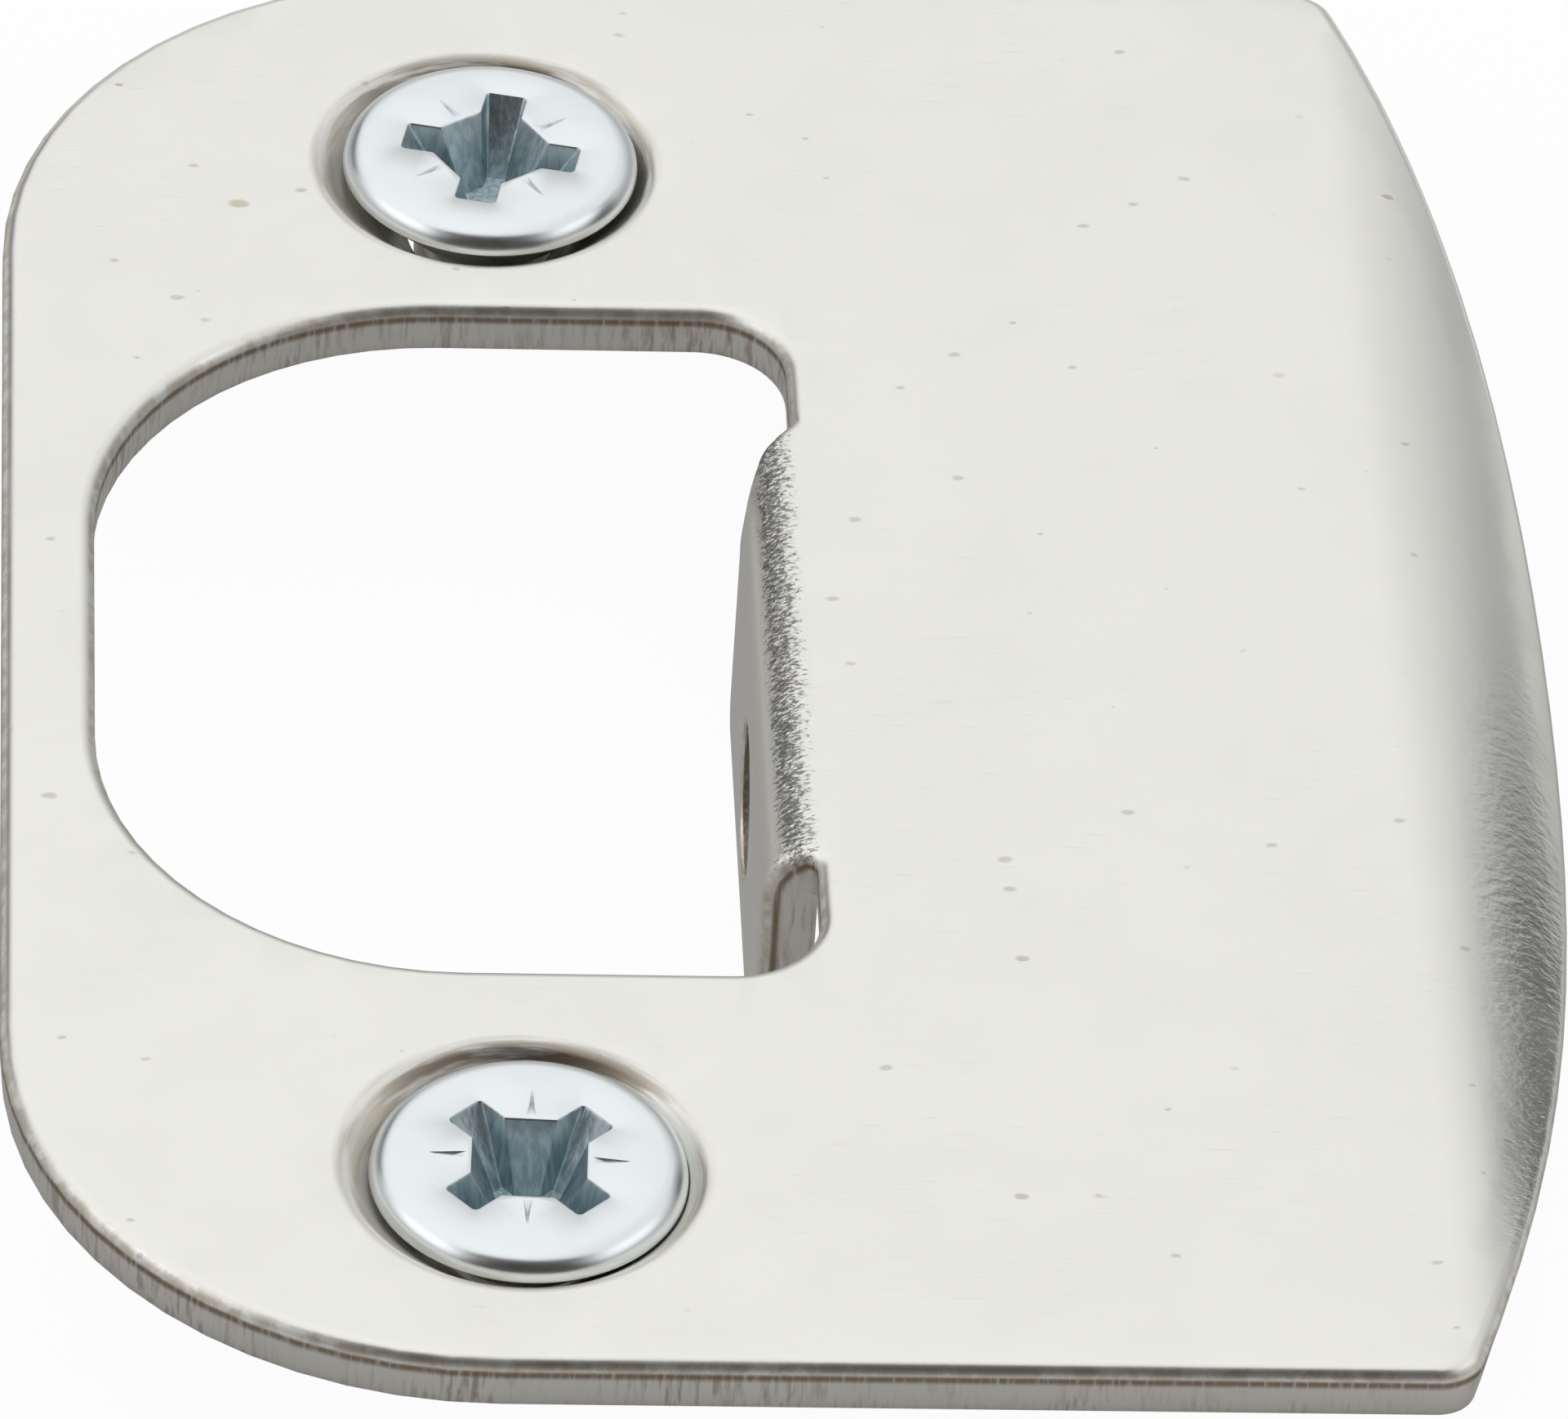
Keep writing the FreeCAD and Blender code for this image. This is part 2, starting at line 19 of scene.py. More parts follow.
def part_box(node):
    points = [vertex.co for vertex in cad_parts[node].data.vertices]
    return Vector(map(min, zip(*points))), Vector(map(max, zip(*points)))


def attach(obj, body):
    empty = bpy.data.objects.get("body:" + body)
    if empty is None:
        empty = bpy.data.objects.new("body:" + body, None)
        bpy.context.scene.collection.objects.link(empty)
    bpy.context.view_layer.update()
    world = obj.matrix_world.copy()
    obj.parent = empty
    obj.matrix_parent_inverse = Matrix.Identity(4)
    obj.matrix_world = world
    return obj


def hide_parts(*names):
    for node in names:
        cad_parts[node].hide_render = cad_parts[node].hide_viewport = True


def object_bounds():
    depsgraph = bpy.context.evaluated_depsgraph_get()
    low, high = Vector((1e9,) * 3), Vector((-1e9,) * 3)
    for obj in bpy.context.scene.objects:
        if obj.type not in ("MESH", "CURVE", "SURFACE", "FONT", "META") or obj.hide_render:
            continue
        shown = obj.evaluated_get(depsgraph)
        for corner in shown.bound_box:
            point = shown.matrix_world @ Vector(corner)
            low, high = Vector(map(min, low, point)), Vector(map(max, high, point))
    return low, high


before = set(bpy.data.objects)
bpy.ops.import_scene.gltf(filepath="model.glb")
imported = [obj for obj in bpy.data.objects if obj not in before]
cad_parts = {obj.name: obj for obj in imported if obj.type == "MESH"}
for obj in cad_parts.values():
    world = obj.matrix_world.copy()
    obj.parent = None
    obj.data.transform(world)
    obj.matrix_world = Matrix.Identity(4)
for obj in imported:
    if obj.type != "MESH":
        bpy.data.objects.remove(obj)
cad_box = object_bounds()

MM = 0.001
scene = bpy.context.scene
print("CAD nodes:", sorted(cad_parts))
print("CAD box in mm:", [[round(c / MM, 2) for c in corner] for corner in cad_box])

# %% [markdown]
# ## The blank, drawn flat
#
# A pressed part starts as a flat blank, so the mesh does too. We draw the outline of the flat sheet, with
# its tab still unbent inside the opening, and bend it afterwards with a formula. That way the edges follow
# the bends by themselves, and every cut edge stays square to the sheet, as a die leaves it. The sizes are
# those of the CAD model, in millimetres.

# %% Sizes of the sheet
low, high = ([c / MM for c in corner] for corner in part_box("strike_plate"))
THICKNESS = 1.5
HALF_HEIGHT = high[1]
LEFT = low[0]
CORNER_RADIUS = 12.5
EDGE_ROLL = 0.42

LIP_START = 23.15
LIP_RADIUS = 6.2
NEUTRAL_SHARE = 0.55
LIP_NEUTRAL = LIP_RADIUS - NEUTRAL_SHARE * THICKNESS
LIP_REACH = 0.3
LIP_BULGE = 4.55
LIP_CORNER_RADIUS = 1.2
LIP_END = LIP_START + LIP_REACH + LIP_BULGE

OPENING_LEFT = -10.9
OPENING_RIGHT = 7.8
HALF_OPENING = 13.6
OPENING_LEFT_RADIUS = 9.4
OPENING_RIGHT_RADIUS = 2.4

TAB_START = 7.95
TAB_OUTER_RADIUS = 1.55
TAB_BEND_LENGTH = TAB_OUTER_RADIUS * math.pi / 2
TAB_LEG = 6.25
TAB_LENGTH = TAB_BEND_LENGTH + TAB_LEG
TAB_HALF = 8.9
TAB_ROOT_RADIUS = 0.5
TAB_TIP_RADIUS = 1.2
TAB_HOLE_RADIUS = 2.15
TAB_HOLE_DEPTH = 2.95

SHOULDER_SLOPE = 3.15
SHOULDER_FOOT = 2.34
SHOULDER_FOOT_RADIUS = 0.8
SHOULDER_DROP = 0.8
SHOULDER_RADIUS = 1.5
SHOULDER_RISE = 0.1
SHOULDER_ROOT_RADIUS = 0.4
TAB_FAR_SIDE = TAB_HALF - SHOULDER_SLOPE
TAB_HOLE_PLACE = (TAB_START - TAB_BEND_LENGTH - TAB_HOLE_DEPTH, (TAB_FAR_SIDE - TAB_HALF) / 2)

SCREW_PLACES = (20.1375, -21.1375)
DIMPLE_SHIFT = -0.15
LIP_TURN = (LIP_REACH + LIP_BULGE) / LIP_NEUTRAL
print(f"sheet {THICKNESS} mm thick, lip turns {math.degrees(LIP_TURN):.1f} degrees")

# %% [markdown]
# ## Outlines with rounded corners
#
# Each outline is a short list of corners, and each corner has its own radius. One helper turns such a list
# into closely spaced points, and a second one finds the direction into the metal at each point. All
# outlines keep the metal on their left: the outside runs anticlockwise, and the holes run clockwise.

# %% Outline helpers
ARC_STEP = math.radians(6)
MITRE_LIMIT = 0.5


def rounded_outline(corners, gap):
    """Points along a closed outline: corners are (x, y, radius), and no gap in a straight run is larger."""
    points = []
    count = len(corners)
    for number, (x, y, radius) in enumerate(corners):
        corner = Vector((x, y))
        before = (Vector(corners[number - 1][:2]) - corner).normalized()
        after = (Vector(corners[(number + 1) % count][:2]) - corner).normalized()
        if not radius:
            points.append(corner)
            continue
        opening_angle = before.angle(after)
        reach = radius / math.tan(opening_angle / 2)
        centre = corner + (before + after).normalized() * radius / math.sin(opening_angle / 2)
        start = corner + before * reach - centre
        turn = start.angle_signed(corner + after * reach - centre)
        steps = max(2, math.ceil(abs(turn) / ARC_STEP))
        points += [centre + Matrix.Rotation(-turn * step / steps, 2) @ start for step in range(steps + 1)]
    spaced = []
    for number, point in enumerate(points):
        run = points[(number + 1) % len(points)] - point
        pieces = max(1, math.ceil(run.length / gap))
        spaced += [point + run * piece / pieces for piece in range(pieces)]
    return spaced


def circle_outline(centre, radius, count):
    """A clockwise circle, for a hole."""
    turns = [-2 * math.pi * step / count for step in range(count)]
    return [Vector(centre) + Vector((math.cos(turn), math.sin(turn))) * radius for turn in turns]


def inward(points):
    """At each point, the step into the metal that shifts both of its neighbouring edges by one unit."""
    steps = []
    for number, point in enumerate(points):
        first = (point - points[number - 1]).normalized()
        second = (points[(number + 1) % len(points)] - point).normalized()
        normal = Vector((-first.y - second.y, first.x + second.x)).normalized()
        steps.append(normal / max(MITRE_LIMIT, normal.dot(Vector((-second.y, second.x)))))
    return steps


# %% The three outlines of the blank
GAP = 0.6
LIP_STEPS = 24
TAB_HOLE_SEGMENTS = 48


def lip_length(y):
    """Flat length of the lip past the bend line: one arc from corner to corner."""
    arc = (HALF_HEIGHT ** 2 + LIP_BULGE ** 2) / (2 * LIP_BULGE)
    return LIP_REACH + LIP_BULGE - arc + math.sqrt(arc ** 2 - y ** 2)


def blank_corners():
    """The outside of the sheet, with its lip still flat."""
    ys = [HALF_HEIGHT * (2 * step / LIP_STEPS - 1) for step in range(LIP_STEPS + 1)]
    edge = [(LIP_START + lip_length(y), y, 0) for y in ys]
    edge[0] = edge[0][:2] + (LIP_CORNER_RADIUS,)
    edge[-1] = edge[-1][:2] + (LIP_CORNER_RADIUS,)
    return edge + [(LEFT, HALF_HEIGHT, CORNER_RADIUS), (LEFT, -HALF_HEIGHT, CORNER_RADIUS)]


def opening_corners():
    """The latch opening, with the tab lying flat inside it."""
    tip = TAB_START - TAB_LENGTH
    corners = [
        (OPENING_LEFT, -HALF_OPENING, OPENING_LEFT_RADIUS),
        (OPENING_RIGHT, -HALF_OPENING, OPENING_RIGHT_RADIUS),
        (OPENING_RIGHT, -TAB_HALF, TAB_ROOT_RADIUS),
        (tip, -TAB_HALF, TAB_TIP_RADIUS),
        (tip, TAB_FAR_SIDE, TAB_TIP_RADIUS),
        (TAB_START - SHOULDER_FOOT, TAB_FAR_SIDE, SHOULDER_FOOT_RADIUS),
        (TAB_START - SHOULDER_FOOT / 2, TAB_HALF - SHOULDER_DROP, SHOULDER_RADIUS),
        (OPENING_RIGHT, TAB_HALF + SHOULDER_RISE, SHOULDER_ROOT_RADIUS),
        (OPENING_RIGHT, HALF_OPENING, OPENING_RIGHT_RADIUS),
        (OPENING_LEFT, HALF_OPENING, OPENING_LEFT_RADIUS),
    ]
    return corners[::-1]


blank_outline = rounded_outline(blank_corners(), GAP)
opening_outline = rounded_outline(opening_corners(), GAP)
tab_hole_outline = circle_outline(TAB_HOLE_PLACE, TAB_HOLE_RADIUS, TAB_HOLE_SEGMENTS)
print("outline points:", len(blank_outline), len(opening_outline), len(tab_hole_outline))

# %% [markdown]
# ## Bending the sheet
#
# One formula takes a point of the flat sheet, with its depth below the face, to its place on the bent
# part. The lip turns about an axis under the face, the tab turns about an axis at the opening's edge and
# then runs straight down, and everything else stays flat.

# %% The bend
TAB_END_BLEND = 0.5
TAB_END_MARGIN = 0.7
TAB_TIP_MARGIN = 1


def tab_start(y):
    """Where the tab's bend begins: a little behind the opening's side, and at it beyond the tab's ends."""
    beyond = min(1, max(0, abs(y) - TAB_HALF) / TAB_END_BLEND)
    return TAB_START + (OPENING_RIGHT - TAB_START) * beyond


def on_tab(x, y):
    tip = TAB_START - TAB_LENGTH - TAB_TIP_MARGIN
    return tip < x < tab_start(y) and abs(y) < TAB_HALF + TAB_END_MARGIN


def bent(x, y, depth):
    """The place on the bent part of a point of the flat sheet, at a depth below its face."""
    if x > LIP_START:
        angle = (x - LIP_START) / LIP_NEUTRAL
        radius = LIP_RADIUS - depth
        return Vector((LIP_START + radius * math.sin(angle), y,
                       THICKNESS - LIP_RADIUS + radius * math.cos(angle)))
    if on_tab(x, y):
        run = tab_start(y) - x
        radius = TAB_OUTER_RADIUS - depth
        angle = min(run, TAB_BEND_LENGTH) / TAB_OUTER_RADIUS
        straight = max(0, run - TAB_BEND_LENGTH)
        return Vector((tab_start(y) - radius * math.sin(angle), y,
                       THICKNESS - TAB_OUTER_RADIUS + radius * math.cos(angle) - straight))
    return Vector((x, y, THICKNESS - depth))


lip_edge = bent(LIP_END, 0, 0)
tab_tip = bent(TAB_START - TAB_LENGTH, 0, 0)
print(f"the lip's edge drops to {lip_edge.z:.2f} mm, and the tab's tip to {tab_tip.z:.2f} mm")

# %% [markdown]
# A bend also works the plating. The wide bend of the lip stretches it, most in the lower half, and the
# tight bend of the tab cracks it. Two formulas say how much, so that the material can show it later.

# %% Strain of the plating
LIP_STRAIN_FROM = 12
LIP_STRAIN_RUN = 14
LIP_STRAIN_TOP = 5
LIP_STRAIN_FADE = 16
LIP_STRAIN_LEAST = 0.1
TAB_STRAIN_RUN = 26
TAB_STRAIN_END = 50
TAB_STRAIN_FADE = 12


def lip_strain(x, y):
    """How far the lip's wide bend has stretched the plating, from 0 to 1: most in its lower half."""
    angle = math.degrees((x - LIP_START) / LIP_NEUTRAL)
    across = min(1, max(0, (angle - LIP_STRAIN_FROM) / LIP_STRAIN_RUN))
    return across * min(1, max(LIP_STRAIN_LEAST, (LIP_STRAIN_TOP - y) / LIP_STRAIN_FADE))


def tab_strain(x, y):
    """How far the tab's tight bend has cracked the plating, from 0 to 1."""
    if not on_tab(x, y):
        return 0
    angle = math.degrees((tab_start(y) - x) / TAB_OUTER_RADIUS)
    return max(0, min(1, angle / TAB_STRAIN_RUN, (TAB_STRAIN_END - angle) / TAB_STRAIN_FADE))


print(f"strain at the lip's lower edge: {lip_strain(LIP_END, -HALF_HEIGHT / 2):.2f}")

# %% [markdown]
# ## Rings and fills
#
# The mesh is made of rings of points, bridged by quads, and of flat fills between rings. A fill with holes
# is what Delaunay triangulation is for: Blender's own function takes the rings as fixed edges, and loose
# points in between give the bends enough triangles to look round.

# %% Mesh helpers
RING_CLEARANCE = 0.42
SAME_POINT = 1e-5
CDT_TOLERANCE = 1e-6
AREA_WEIGHT = 100


def bridge(mesh, first, second):
    """Quads between two rings of as many vertices."""
    count = len(first)
    for number in range(count):
        after = (number + 1) % count
        mesh.faces.new((first[number], first[after], second[after], second[number]))


def in_metal(point, loops):
    """Even-odd test: a point in the metal is inside an odd number of loops."""
    inside = False
    for loop in loops:
        for number, second in enumerate(loop):
            first = loop[number - 1]
            if (first.y > point.y) != (second.y > point.y):
                share = (point.y - first.y) / (second.y - first.y)
                inside ^= point.x < first.x + share * (second.x - first.x)
    return inside


def spaced_out(loose, points, gap):
    """The loose points that keep a gap from the rings' points, so that no sliver of a triangle is left."""
    tree = KDTree(len(points))
    for number, point in enumerate(points):
        tree.insert((point.x, point.y, 0), number)
    tree.balance()
    return [point for point in loose if tree.find((point.x, point.y, 0))[2] > gap]


def fill(mesh, rings, flats, loose, place):
    """Triangles between rings: flats are their flat points, loose are extra points, place makes a vertex."""
    points = [point for flat in flats for point in flat]
    edges = []
    for flat in flats:
        first = len(edges)
        edges += [(first + number, first + (number + 1) % len(flat)) for number in range(len(flat))]
    extra = [point for point in spaced_out(loose, points, RING_CLEARANCE) if in_metal(point, flats)]
    corners = [vertex for ring in rings for vertex in ring] + [place(point) for point in extra]
    borders = set(edges)
    spots, _, faces, origins, _, _ = delaunay_2d_cdt(points + extra, edges, [], 0, CDT_TOLERANCE)
    names = [origin[0] for origin in origins]
    for face in faces:
        a, b, c = (names[number] for number in face)
        if borders & {(b, a), (c, b), (a, c)}:
            continue
        middle = (spots[face[0]] + spots[face[1]] + spots[face[2]]) / 3
        if borders & {(a, b), (b, c), (c, a)} or in_metal(middle, flats):
            mesh.faces.new((corners[a], corners[b], corners[c]))


def finished_object(name, mesh, sharp):
    """A smooth-shaded object in metres from a bmesh in millimetres, with sharp edges over an angle."""
    bmesh.ops.remove_doubles(mesh, verts=mesh.verts, dist=SAME_POINT)
    loose_points = [vertex for vertex in mesh.verts if not vertex.link_faces]
    bmesh.ops.delete(mesh, geom=loose_points, context="VERTS")
    strays = [face for face in mesh.faces if all(edge.is_boundary for edge in face.edges)]
    bmesh.ops.delete(mesh, geom=strays, context="FACES")
    bmesh.ops.recalc_face_normals(mesh, faces=mesh.faces)
    data = bpy.data.meshes.new(name)
    mesh.to_mesh(data)
    open_edges = sum(1 for edge in mesh.edges if not edge.is_manifold)
    mesh.free()
    data.transform(Matrix.Scale(MM, 4))
    data.shade_smooth()
    data.set_sharp_from_angle(angle=sharp)
    piece = bpy.data.objects.new(name, data)
    scene.collection.objects.link(piece)
    weights = piece.modifiers.new("flat_faces_stay_flat", "WEIGHTED_NORMAL")
    weights.keep_sharp = True
    weights.weight = AREA_WEIGHT
    print(f"{name}: {len(data.polygons)} faces, {open_edges} open edges")
    return piece


# %% [markdown]
# ## The cut edge
#
# A die leaves the same edge everywhere. At the face the sheet is drawn down into a soft round, the edge
# roll. Below it comes a sheared band, and then a torn band that leans in a little, with a sharp burr at
# the back. It could be a bevel, but a bevel has one shape all the way down. So the section of the edge is
# a short list of insets and depths, and each entry becomes one ring. The last ring lies on the back,
# beside the burr. Numbers ride on every vertex for the material: how much of the cut edge it is, and how
# far each bend strained it.

# %% Section of the cut edge
ROLL_STEPS = 7
TORN_DEPTH = 0.95
TORN_LEAN = 0.05
BURR = 0.05
ROLL_CUT = 0.6
TAB_HOLE_ROLL = 0.12


def edge_section(roll):
    """The edge from the face to the back, as (inset, depth, how much of the cut edge it is)."""
    section = []
    for step in range(ROLL_STEPS + 1):
        share = step / ROLL_STEPS
        turn = math.pi / 2 * share
        section.append((roll * (1 - math.sin(turn)), roll * (1 - math.cos(turn)), ROLL_CUT * share ** 2))
    section.append((0, TORN_DEPTH, 1))
    section.append((TORN_LEAN, THICKNESS - BURR, 1))
    section.append((TORN_LEAN + BURR, THICKNESS, 1))
    section.append((TORN_LEAN + 2 * BURR, THICKNESS, 0))
    return section


def sheet_vertex(mesh, point, depth, cut=0):
    """A vertex of the bent sheet, with the numbers that ride on it."""
    vertex = mesh.verts.new(bent(point.x, point.y, depth))
    vertex[mesh.verts.layers.float["cut_edge"]] = cut
    vertex[mesh.verts.layers.float["lip_strain"]] = lip_strain(point.x, point.y)
    vertex[mesh.verts.layers.float["tab_strain"]] = tab_strain(point.x, point.y)
    return vertex


def cut_edge(mesh, outline, roll):
    """Rings down one cut edge. Returns the first and the last ring, each with its flat points."""
    into = inward(outline)
    rings = []
    for inset, depth, cut in edge_section(roll):
        flat = [point + step * inset for point, step in zip(outline, into)]
        ring = [sheet_vertex(mesh, point, depth, cut) for point in flat]
        if rings:
            bridge(mesh, rings[-1][0], ring)
        rings.append((ring, flat))
    return rings[0], rings[-1]


print("rings in a cut edge:", len(edge_section(EDGE_ROLL)))

# %% [markdown]
# ## The dimples
#
# The punch that makes a screw seat presses a cone into the sheet and leaves a bulge behind it. That is a
# turned shape, so its section is a list of radii and heights, with its rounds worked out as arcs. At the
# back the hole has a small burr, which turns in a little. Dirt gathers in the dimples, and painted shade
# darkens their far walls, so a number for both rides on their vertices.

# %% Section of a dimple
DIMPLE_SEGMENTS = 96
DIMPLE_MOUTH = 4.67
DIMPLE_HOLE = 2.4
DIMPLE_BURR = 2.04
DIMPLE_BURR_HEIGHT = 0.3
DIMPLE_BACK = -1.1
DIMPLE_LAND = 0.75
DIMPLE_RIM = 0.6
DIMPLE_FOOT_RADIUS = 0.3
DIMPLE_ROOT = 0.5
ROUND_STEPS = 5


def fillet_points(corner, before, after, radius):
    """Points of a round that touches the two lines from a corner towards before and after."""
    corner = Vector(corner)
    first = (Vector(before) - corner).normalized()
    second = (Vector(after) - corner).normalized()
    angle = first.angle(second)
    centre = corner + (first + second).normalized() * radius / math.sin(angle / 2)
    start = corner + first * radius / math.tan(angle / 2) - centre
    turn = start.angle_signed(corner + second * radius / math.tan(angle / 2) - centre)
    turns = [-turn * step / ROUND_STEPS for step in range(ROUND_STEPS + 1)]
    return [centre + Matrix.Rotation(angle, 2) @ start for angle in turns]


def dimple_section():
    """The dimple from the face to the back, as radii and heights."""
    throat = THICKNESS - (DIMPLE_MOUTH - DIMPLE_HOLE)
    foot = DIMPLE_HOLE + DIMPLE_LAND
    root = foot - DIMPLE_BACK
    mouth = (DIMPLE_MOUTH, THICKNESS)
    section = fillet_points(mouth, (root * 2, THICKNESS), (DIMPLE_HOLE, throat), DIMPLE_RIM)
    section += [Vector((DIMPLE_HOLE, throat)), Vector((DIMPLE_HOLE, DIMPLE_BACK + DIMPLE_BURR_HEIGHT)),
                Vector((DIMPLE_BURR, DIMPLE_BACK))]
    section += fillet_points((foot, DIMPLE_BACK), (DIMPLE_HOLE, DIMPLE_BACK), (root, 0), DIMPLE_FOOT_RADIUS)
    section += fillet_points((root, 0), (foot, DIMPLE_BACK), (root * 2, 0), DIMPLE_ROOT)
    return section


def dimple(mesh, y):
    """Rings down one dimple, from the face to the back."""
    grime_and_shade = mesh.verts.layers.float["grime_and_shade"]
    rings = []
    section = dimple_section()
    for number, (radius, height) in enumerate(section):
        flat = circle_outline((DIMPLE_SHIFT, y), radius, DIMPLE_SEGMENTS)
        ring = [mesh.verts.new((point.x, point.y, height)) for point in flat]
        for vertex in ring:
            vertex[grime_and_shade] = min(1, number / ROUND_STEPS, (len(section) - 1 - number) / ROUND_STEPS)
        if rings:
            bridge(mesh, rings[-1][0], ring)
        rings.append((ring, flat))
    return rings[0], rings[-1]


print("rings in a dimple:", len(dimple_section()))

# %% [markdown]
# ## The plate in one mesh
#
# Now the sheet comes together: the cut edges and the dimples first, then the face and the back between
# them. The bends get lines of loose points, close together across the bend and wide apart along it.

# %% The plate
FACE_INSET = 2
LIP_INSET = 1
FACE_GAPS = (2.4, 2.2)
LIP_GAPS = (0.3, 0.9)
TAB_GAPS = (0.2, 0.7)
PLATE_SHARP = math.radians(40)


def lattice(x_from, x_to, x_gap, y_gap):
    """Loose points in columns and rows, over the whole height of the sheet."""
    columns = max(1, round((x_to - x_from) / x_gap))
    rows = round(2 * HALF_HEIGHT / y_gap)
    xs = [x_from + (x_to - x_from) * column / columns for column in range(columns + 1)]
    ys = [HALF_HEIGHT * (2 * (row + 0.5) / rows - 1) for row in range(rows)]
    return [Vector((x, y)) for x in xs for y in ys]


def strike_plate():
    mesh = bmesh.new()
    for layer in ("cut_edge", "lip_strain", "tab_strain", "grime_and_shade"):
        mesh.verts.layers.float.new(layer)
    edges = [cut_edge(mesh, blank_outline, EDGE_ROLL), cut_edge(mesh, opening_outline, EDGE_ROLL),
             cut_edge(mesh, tab_hole_outline, TAB_HOLE_ROLL)]
    edges += [dimple(mesh, y) for y in SCREW_PLACES]
    loose = lattice(LEFT + FACE_INSET, LIP_START - LIP_INSET, *FACE_GAPS)
    loose += lattice(LIP_START, LIP_END, *LIP_GAPS)
    bend_end = TAB_START - TAB_BEND_LENGTH
    loose += [point for point in lattice(bend_end, TAB_START, *TAB_GAPS) if abs(point.y) < TAB_HALF]
    for which, depth in ((0, 0), (1, THICKNESS)):
        rings = [edge[which][0] for edge in edges]
        flats = [edge[which][1] for edge in edges]
        fill(mesh, rings, flats, loose, lambda point, depth=depth: sheet_vertex(mesh, point, depth))
    return finished_object("plated_strike", mesh, PLATE_SHARP)


plate = strike_plate()
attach(plate, "root")
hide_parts("strike_plate")

# %% [markdown]
# ## The screws
#
# Each screw is a countersunk machine screw. Its outside is a turned shape, so rings do it all: a flat top,
# a rounded shoulder, a short straight rim, the cone, a neck, and then the thread, whose radius also
# depends on the angle. The cross recess and the four tick marks are holes in the flat top, and their walls
# run down in rings.

# %% Sizes of a screw
HEAD_RADIUS = 4.05
HEAD_EDGE = 0.6
HEAD_LAND = 0.62
HEAD_STEPS = 6
NECK_RADIUS = 1.75
NECK_LENGTH = 0.3
NECK_ROUND = 0.1
THREAD_RADIUS = 2.0
THREAD_DEPTH = 0.38
THREAD_PITCH = 0.7
THREAD_CREST = 1.25
THREAD_RUN_IN = 0.3
THREAD_STEPS = 44
SCREW_LENGTH = 5.5
TIP_CHAMFER = 0.4
SCREW_SEGMENTS = 96
SCREW_SHARP = math.radians(35)

RECESS_HALF_SPAN = 2.4
RECESS_HALF_WING = 0.55
RECESS_HALF_CORE = 1.5
RECESS_DEPTH = 2.0
RECESS_FOOT = 0.5
RECESS_POINT = 2.05
RECESS_EDGE = 0.07
RECESS_EDGE_BEND = 0.3 * RECESS_EDGE
RECESS_CORNER = 0.12
RECESS_GAP = 0.3
SHADE_RUN = 0.1

TICK_START = 1.6
TICK_END = 2.55
TICK_HALF_WIDTH = 0.11
TICK_HALF_TIP = 0.02
TICK_DEPTH = 0.08
TICK_FOOT = 0.3
print(f"head {2 * HEAD_RADIUS} mm across, thread {2 * THREAD_RADIUS} mm, {SCREW_LENGTH} mm long in all")


# %% Outside of a screw
def thread_radius(turn, height, start):
    """Radius of the thread at an angle and height: a sharp ridge that climbs one pitch a turn."""
    share = (height / THREAD_PITCH - turn / (2 * math.pi)) % 1
    ridge = 1 - abs(2 * share - 1)
    depth_run = min(1, max(0, (start - height) / THREAD_RUN_IN))
    tip_run = max(0, THREAD_RADIUS - TIP_CHAMFER + (height + SCREW_LENGTH))
    radius = THREAD_RADIUS - THREAD_DEPTH * (1 - min(1, ridge * THREAD_CREST))
    return min(NECK_RADIUS + (radius - NECK_RADIUS) * depth_run, tip_run)


def screw_rings():
    """The outside as (height, radius of an angle) pairs, from the shoulder to the tip."""
    rings = []
    for step in range(HEAD_STEPS + 1):
        turn = math.pi / 2 * step / HEAD_STEPS
        radius = HEAD_RADIUS - HEAD_EDGE * (1 - math.sin(turn))
        rings.append((-HEAD_EDGE * (1 - math.cos(turn)), lambda angle, radius=radius: radius))
    foot = -HEAD_LAND - (HEAD_RADIUS - NECK_RADIUS)
    neck_end = foot - NECK_LENGTH
    cone = ((-HEAD_LAND, HEAD_RADIUS), (foot + NECK_ROUND, NECK_RADIUS + NECK_ROUND),
            (foot - NECK_ROUND / 2, NECK_RADIUS))
    for height, radius in cone:
        rings.append((height, lambda angle, radius=radius: radius))
    for step in range(THREAD_STEPS + 1):
        height = neck_end + (-SCREW_LENGTH - neck_end) * step / THREAD_STEPS
        rings.append((height, lambda angle, height=height: thread_radius(angle, height, foot)))
    return rings


def cross_outline():
    """The recess's mouth: four wings with sloping corners between them, clockwise."""
    quarter = [(RECESS_HALF_SPAN, RECESS_HALF_WING), (RECESS_HALF_CORE, RECESS_HALF_WING),
               (RECESS_HALF_WING, RECESS_HALF_CORE), (RECESS_HALF_WING, RECESS_HALF_SPAN)]
    upper = quarter + [(-x, y) for x, y in reversed(quarter)]
    corners = upper + [(x, -y) for x, y in reversed(upper)]
    return rounded_outline([(x, y, RECESS_CORNER) for x, y in corners][::-1], RECESS_GAP)


def tick_outline(turn):
    """A thin mark that narrows to a point, between two wings."""
    corners = [(TICK_START, -TICK_HALF_WIDTH), (TICK_END, -TICK_HALF_TIP),
               (TICK_END, TICK_HALF_TIP), (TICK_START, TICK_HALF_WIDTH)]
    spin = Matrix.Rotation(-turn, 2)
    return [spin @ Vector(corner) for corner in corners[::-1]]


print("rings outside:", len(screw_rings()), "points round the recess:", len(cross_outline()))

# %% [markdown]
# The cross recess and the ticks are punched. Their mouths are rings in the flat top, and each lower ring
# is a smaller copy of the mouth. A boolean cut could do it too, but rings keep the mesh clean at the
# mouths' edges.

# %% Recess and ticks
def screw_vertex(mesh, x, y, z, recess=0, grime_and_shade=0):
    """A vertex of a screw, with how far it is in the recess and how far under the head, where shade is
    painted.
    """
    vertex = mesh.verts.new((x, y, z))
    vertex[mesh.verts.layers.float["recess"]] = recess
    vertex[mesh.verts.layers.float["grime_and_shade"]] = grime_and_shade
    return vertex


